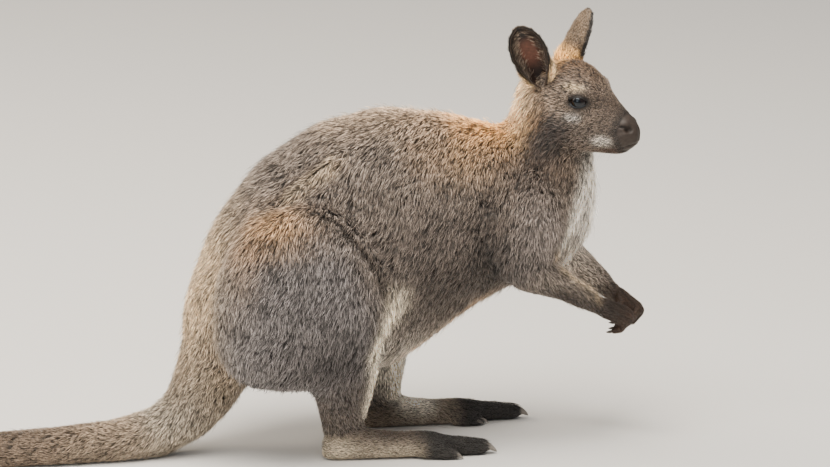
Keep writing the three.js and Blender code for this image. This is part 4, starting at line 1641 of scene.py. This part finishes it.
    def ear_roots(self, ear: Ear) -> Roots:
        """Short hair on the back of an ear, and long pale hair from the edges over the hollow."""
        dense = 1.0
        backs, fringe, short = int(9000 * dense), int(2600 * dense), int(2000 * dense)
        along = np.concatenate([self.rng.uniform(0.0, 0.985, backs), self.rng.uniform(0.1, 0.93, fringe)])
        edge = self.rng.choice((-1.0, 1.0), fringe) * (1 - 0.62 * self.rng.random(fringe) ** 1.3)
        turn = np.concatenate([self.rng.uniform(-1, 1, backs), edge])
        inner = np.arange(backs + fringe) >= backs
        step = 0.004
        here = np.where(inner[:, None], ear.cup(along, turn, ear.wall), ear.cup(along, turn))
        up = unit(ear.cup(along + step, turn) - ear.cup(along - step, turn))
        across = unit(ear.cup(along, turn + 0.01) - ear.cup(along, turn - 0.01))
        normals = unit(np.cross(across, up))
        centre = ear.head.world(ear.base) + (along * ear.length * MM)[:, None] * ear.axes()[2]
        normals *= np.sign(np.sum(normals * (here - centre), 1))[:, None]
        normals[inner] *= -1
        flow = unit(up + inner[:, None] * (-0.9 * np.sign(turn)[:, None] * across + 0.2 * normals))
        back, rim = np.array(srgb("594a3a")), np.array(srgb("17110d"))
        gold, pale = np.array(srgb(ear.base_colour)), np.array(srgb("8f7d6c"))
        colours = back + ramp(along, 0.45, 0.08)[:, None] * (gold - back)
        edge = np.maximum(ramp(np.abs(turn), 0.7, 0.9) * ramp(along, 0.12, 0.3), ramp(along, 0.93, 1.0))
        colours += edge[:, None] * (rim - colours)
        dark = np.arange(fringe) < short
        colours[inner] = np.where(dark[:, None], srgb("2f241d"), pale * self.rng.uniform(0.4, 1.0, (fringe, 1)))
        count = len(along)
        depth = np.where(inner, 3.0, 1.5 + 4.5 * ramp(along, 0.4, 0.05)) * MM
        length = np.where(inner, 8.0, 5.5 + 7 * ramp(along, 0.4, 0.0)) * MM
        length[backs : backs + short] *= 0.55
        depth[backs : backs + short] *= 0.4
        width = np.where(inner, 0.4, 0.8) * MM / math.sqrt(dense)
        part = np.full(count, PARTS.index(Part.EAR))
        return Roots(here, normals, flow, depth, length, width, colours, part)

    def piece(self, name: str, corners: Array, roots: Roots, material: bpy.types.Material) -> Object:
        """One piece of the coat as a joined mesh, with its attributes and its map.

        Args:
            name: The piece's name.
            corners: Five corners for each tuft.
            roots: The tufts' roots.
            material: The fur.

        Returns:
            The finished piece.
        """
        count = len(corners)
        faces = (TUFT_FACES[None] + TUFT_CORNERS * np.arange(count)[:, None, None]).reshape(-1, 3)
        obj = triangles_mesh(name, corners.reshape(-1, 3), faces)
        write_attribute(obj, "coat", "FLOAT_COLOR", np.repeat(roots.colours, TUFT_CORNERS, axis=0))
        write_attribute(obj, "along", "FLOAT", np.tile(TUFT_ALONG, count))
        write_attribute(obj, "tone", "FLOAT", np.repeat(self.tones(roots), TUFT_CORNERS))
        spots = unwrapped(roots)[:, None, :] + TUFT_PATCH[None]
        layer = obj.data.uv_layers.new(name=COAT_MAP)
        layer.data.foreach_set("uv", spots.reshape(-1, 2)[faces.ravel()].ravel())
        return dress(obj, material)

    def tones(self, roots: Roots) -> Array:
        """How light each tuft is: most near the middle, some dark guard hairs and some pale ones."""
        count = len(roots.places)
        cells = np.floor(roots.places / (2.2 * MM)).astype(np.int64) @ np.array([73856093, 19349663, 83492791])
        _, lock = np.unique(cells, return_inverse=True)
        tone = 0.4 + 0.1 * self.rng.normal(size=lock.max() + 1)[lock] + 0.18 * self.rng.normal(size=count)
        tone += 0.5 * self.drift(roots.places, 0.0011)[:, 0]
        kind = self.rng.random(count)
        tone = np.where(kind < 0.15, self.rng.uniform(0.0, 0.12, count), tone)
        tone = np.where(kind > 0.84, self.rng.uniform(0.75, 1.0, count), tone)
        short = table("speckle")[roots.parts] * (0.6 + 0.4 * ramp(roots.length / MM, 3, 9)) * (1 - 0.25 * ramp(roots.colours.mean(1), 0.3, 0.6))
        return np.clip(0.4 + short * (tone - 0.4 + 0.16 * self.drift(roots.places, 0.011)[:, 0]), 0, 1)


COAT_PIECES = {
    "coat_trunk": [Part.TRUNK],
    "coat_neck": [Part.NECK],
    "coat_head": [Part.HEAD],
    "coat_thighs": [Part.THIGH],
    "coat_shanks": [Part.SHANK],
    "coat_feet": [Part.FOOT],
    "coat_arms": [Part.UPPER_ARM, Part.FOREARM],
    "coat_paws": [Part.PAW],
    "coat_tail": [Part.TAIL_ROOT, Part.TAIL_MIDDLE, Part.TAIL_TIP],
}


def unwrapped(roots: Roots) -> Array:
    """The places of roots on an unwrap of the skin: each part's own tube, cut open and laid flat in its cell.

    Args:
        roots: The roots of one piece.

    Returns:
        A place in the unit square for each root.
    """
    spots = np.empty((len(roots.places), 2))
    present = np.unique(roots.parts)
    side = math.ceil(math.sqrt(2 * len(present)))
    for number, part in enumerate(present):
        for half, on_side in enumerate((roots.places[:, 1] < 0, roots.places[:, 1] >= 0)):
            mine = np.flatnonzero((roots.parts == part) & on_side)
            if len(mine) < 3:
                spots[mine] = 0.5
                continue
            places = roots.places[mine] - roots.places[mine].mean(0)
            long, wide, deep = np.linalg.svd(places, full_matrices=False)[2]
            height = places @ long
            height = (height - height.min()) / max(np.ptp(height), 1e-9)
            turn = np.arctan2(places @ deep, places @ wide) / (2 * math.pi) + 0.5
            cell = 2 * number + half
            corner = np.array([cell % side, cell // side])
            spots[mine] = (corner + 0.04 + 0.92 * np.stack([turn, height], 1)) / side
    return spots * 0.99


# ---- Claws and whiskers -------------------------------------------------------------------------


@dataclass
class Claws:
    """All claws, each a smooth horn in the place of its solid."""

    nodes: dict[str, Object]

    def build(self, material: bpy.types.Material, dark: bpy.types.Material) -> list[Object]:
        """Makes a smooth claw for each solid one: pale horn on the feet, dark horn on the paws."""
        return [self.claw(name, node, material if "_foot_" in name else dark) for name, node in self.nodes.items()]

    def claw(self, name: str, node: Object, material: bpy.types.Material) -> Object:
        """One claw, from a merged copy of its solid, subdivided."""
        surface = Surface.of(node)
        claw = triangles_mesh(name.replace("claw_", "horn_"), surface.places, surface.triangles)
        choose(claw)
        bpy.ops.object.mode_set(mode="EDIT")
        bpy.ops.mesh.select_all(action="SELECT")
        bpy.ops.mesh.remove_doubles(threshold=0.01 * MM)
        bpy.ops.object.mode_set(mode="OBJECT")
        finish_with(claw, "SUBSURF", levels=2, render_levels=2)
        corners = places_of(claw)
        owner = np.mean(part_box("_".join(["foot" if "_foot_" in name else "paw", name.split("_")[1]])), axis=0)
        base = corners[np.linalg.norm(corners - owner, axis=1).argmin()]
        growth = np.array([0.78, 1.15, 1.1] if "_foot_" in name else [0.72, 1.1, 1.1])
        set_places(claw, base + (corners - base) * growth)
        low = places_of(claw)
        low[:, 2] = np.maximum(low[:, 2], 0.2 * MM)
        set_places(claw, low)
        bpy.ops.object.shade_smooth()
        dress(claw, material)
        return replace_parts(claw, name)


@dataclass
class Whiskers:
    """Fine dark whiskers on the lips and lashes on the upper lids."""

    skin: Skin
    sides: int = 3
    rings: int = 6
    radius: float = 0.2 * MM
    rng: np.random.Generator = field(default_factory=lambda: np.random.default_rng(SEED + 1))

    def build(self, material: bpy.types.Material) -> Object:
        """Makes all of them as one piece."""
        tree = self.skin.surface.tree()
        head = self.skin.head
        hairs = []
        for side in (-1, 1):
            for row in range(4):
                for place in range(4):
                    local = (52 - 6 * place, side * 40, -38 - 4.5 * row)
                    start, towards = head.world(local), -side * head.out
                    hit, normal = tree.ray_cast(Vector(start), Vector(towards))[:2]
                    if hit is None:
                        continue
                    way = head.turned([-0.55 + 0.1 * self.rng.normal(), side * 0.9, -0.45 - 0.12 * row])
                    length = (14 + 3 * place + self.rng.uniform(-3, 4)) * MM
                    hairs.append((np.array(hit), unit(way), length, -UP * 0.35, self.radius))
            hairs += self.lashes(side)
        return self.mesh(hairs, material)

    def lashes(self, side: int) -> list[tuple]:
        """Lashes along the upper rim of an eye."""
        axes, centre = self.skin.eye_axes(side), self.skin.head.eyes[side]
        radius = self.skin.head.eye_radius / MM
        hairs = []
        for turn in np.linspace(0.5, 2.6, 16):
            u, v = 10.9 * math.cos(turn), 7.2 * math.sin(turn)
            w = math.sqrt(max(radius**2 - u**2 - v**2, 10)) + 0.8
            root = centre + (u * axes[0] + v * axes[1] + w * axes[2]) * MM
            way = unit(0.5 * math.cos(turn) * axes[0] + 0.25 * axes[1] + axes[2])
            hairs.append((root, way, self.rng.uniform(4, 6) * MM, -UP * 0.5, 0.16 * MM))
        return hairs

    def mesh(self, hairs: list[tuple], material: bpy.types.Material) -> Object:
        """Closed tapered tubes along bent hairs, joined in one mesh."""
        places, faces = [], []
        for root, way, length, sag, radius in hairs:
            start = len(places)
            side = unit(np.cross(way, UP + 0.01))
            lift = np.cross(side, way)
            for ring in range(self.rings):
                share = ring / self.rings
                middle = root + length * (way * share + sag * share**2)
                for corner in range(self.sides):
                    turn = 2 * math.pi * corner / self.sides
                    spoke = side * math.cos(turn) + lift * math.sin(turn)
                    places.append(middle + spoke * radius * (1 - 0.8 * share))
            for ring in range(self.rings - 1):
                for corner in range(self.sides):
                    a = start + ring * self.sides + corner
                    b = start + ring * self.sides + (corner + 1) % self.sides
                    faces += [(a, b, b + self.sides), (a, b + self.sides, a + self.sides)]
            places.append(root + length * (way + sag))
            tip, last = len(places) - 1, start + (self.rings - 1) * self.sides
            faces += [(last + c, last + (c + 1) % self.sides, tip) for c in range(self.sides)]
            faces.append((start + 2, start + 1, start))
        obj = triangles_mesh("whiskers", np.array(places), np.array(faces))
        write_attribute(obj, "coat", "FLOAT_COLOR", np.tile(srgb("2a221c"), (len(places), 1)))
        write_attribute(obj, "along", "FLOAT", np.full(len(places), 0.4))
        write_attribute(obj, "tone", "FLOAT", np.full(len(places), 0.4))
        return dress(obj, material)


# ---- Studio -------------------------------------------------------------------------------------


@dataclass(frozen=True)
class Light:
    """A soft square light that looks at the animal."""

    name: str
    at: tuple[float, float, float]
    size: float
    watts: float
    colour: str = "ffffff"


@dataclass(frozen=True)
class Studio:
    """The pale floor, the soft lights and the camera."""

    target: tuple[float, float, float] = (0.26804, 0.0, 0.25946)
    azimuth: float = -10.0
    elevation: float = 15.0
    distance: float = 6.0
    lens: float = 216.0
    lights: tuple[Light, ...] = (
        Light("overhead", (-0.2, -0.6, 3.0), 2.6, 235.0, "fff7eb"),
        Light("front", (-2.0, -3.4, 1.8), 2.2, 34.0),
        Light("back", (-2.4, 1.6, 2.3), 2.2, 110.0, "fff1dd"),
    )
    daylight: float = 0.4

    def build(self) -> None:
        """Makes the camera, the lights and the floor."""
        a, e = math.radians(self.azimuth), math.radians(self.elevation)
        back = Vector((math.sin(a) * math.cos(e), -math.cos(a) * math.cos(e), math.sin(e)))
        lens = bpy.data.cameras.new("camera")
        lens.lens, lens.sensor_width, lens.clip_end = self.lens, 36.0, 50.0
        camera = bpy.data.objects.new("camera", lens)
        camera.location = Vector(self.target) + back * self.distance
        camera.rotation_euler = (-back).to_track_quat("-Z", "Y").to_euler()
        bpy.context.scene.collection.objects.link(camera)
        bpy.context.scene.camera = camera
        for light in self.lights:
            self.hang(light)
        world = bpy.data.worlds.new("studio")
        world.use_nodes = True
        background = world.node_tree.nodes["Background"]
        background.inputs["Color"].default_value = (*srgb("f1f2f4"), 1)
        background.inputs["Strength"].default_value = self.daylight
        bpy.context.scene.world = world
        self.lay_floor()

    def hang(self, light: Light) -> None:
        """Adds one soft light."""
        lamp = bpy.data.lights.new(light.name, "AREA")
        lamp.size, lamp.energy, lamp.color = light.size, light.watts, srgb(light.colour)
        obj = bpy.data.objects.new(light.name, lamp)
        obj.location = light.at
        towards = Vector(self.target) - Vector(light.at)
        obj.rotation_euler = towards.to_track_quat("-Z", "Y").to_euler()
        bpy.context.scene.collection.objects.link(obj)

    def lay_floor(self) -> None:
        """Adds the floor, a plane whose edge lies far outside the view."""
        bpy.ops.object.select_all(action="DESELECT")
        bpy.ops.mesh.primitive_plane_add(size=30.0, location=(0, 0, 0))
        floor = bpy.context.object
        floor.name = "floor"
        floor.data.materials.append(PalePaint().make())


TOE_CLAWS = [f"claw_{side}_foot_{toe}" for side in ("right", "left") for toe in ("fourth", "fifth")]


# ---- Putting it together ------------------------------------------------------------------------

FLESH = [part.value for part in Part]
EARS = {
    "right": {"base": (-49, -26, 19.5), "aim": (-0.24, -0.36, 0.9), "opening": (0.35, -0.93, 0), "base_colour": "cbb08a"},
    "left": {"base": (-38, 25, 25), "aim": (0.29, 0.22, 0.94), "opening": (0.7, 0.72, 0)},
}


def join(obj: Object, *others: Object) -> None:
    """Joins objects into the first one."""
    choose(obj, *others)
    bpy.ops.object.join()


def main() -> None:
    """Builds the animal and its studio."""
    logging.basicConfig(level=logging.INFO, format="%(name)s: %(message)s")
    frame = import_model()
    Studio().build()
    nodes = frame["nodes"]
    flesh = {n: o for n, o in nodes.items() if not n.startswith(("claw_", "ear_"))}
    covered = [n for n in nodes if not n.startswith(("eye_", "claw_"))]
    head = Head()
    skin = Skin(PartFinder(flesh), head, Markings(head))
    hide = skin.build()
    log.info("skin: %d triangles", len(skin.surface.triangles))
    skin.write()
    ears = [Ear(head, name, **shape) for name, shape in EARS.items()]
    lids = [Eyelids(skin, side).build() for side in (-1, 1)]
    walls = [ear.build() for ear in ears]
    join(hide, *lids, *walls)
    log.info("skin with lids and ears: %d triangles", len(Surface.of(hide).triangles))
    dress(hide, WallabySkin().make())
    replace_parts(hide, *covered)
    eye = WetEye().make()
    for side in (-1, 1):
        log.info("eye: %s", Eye(skin, side).build(eye).name)
    horns = ClawHorn().make(), ClawHorn("4e443b", "2a231d").make()
    claws = Claws({n: o for n, o in nodes.items() if n.startswith("claw_")}).build(*horns)
    log.info("claws: %d", len(claws))
    fur = WallabyFur().make()
    log.info("whiskers: %s", Whiskers(skin).build(fur).name)
    pieces = Coat(skin, head, ears, claws).build(fur)
    for piece in pieces:
        log.info("%s: %d triangles", piece.name, len(piece.data.polygons))
    log.info("coat: %d triangles", sum(len(piece.data.polygons) for piece in pieces))


if __name__ == "__main__":
    main()
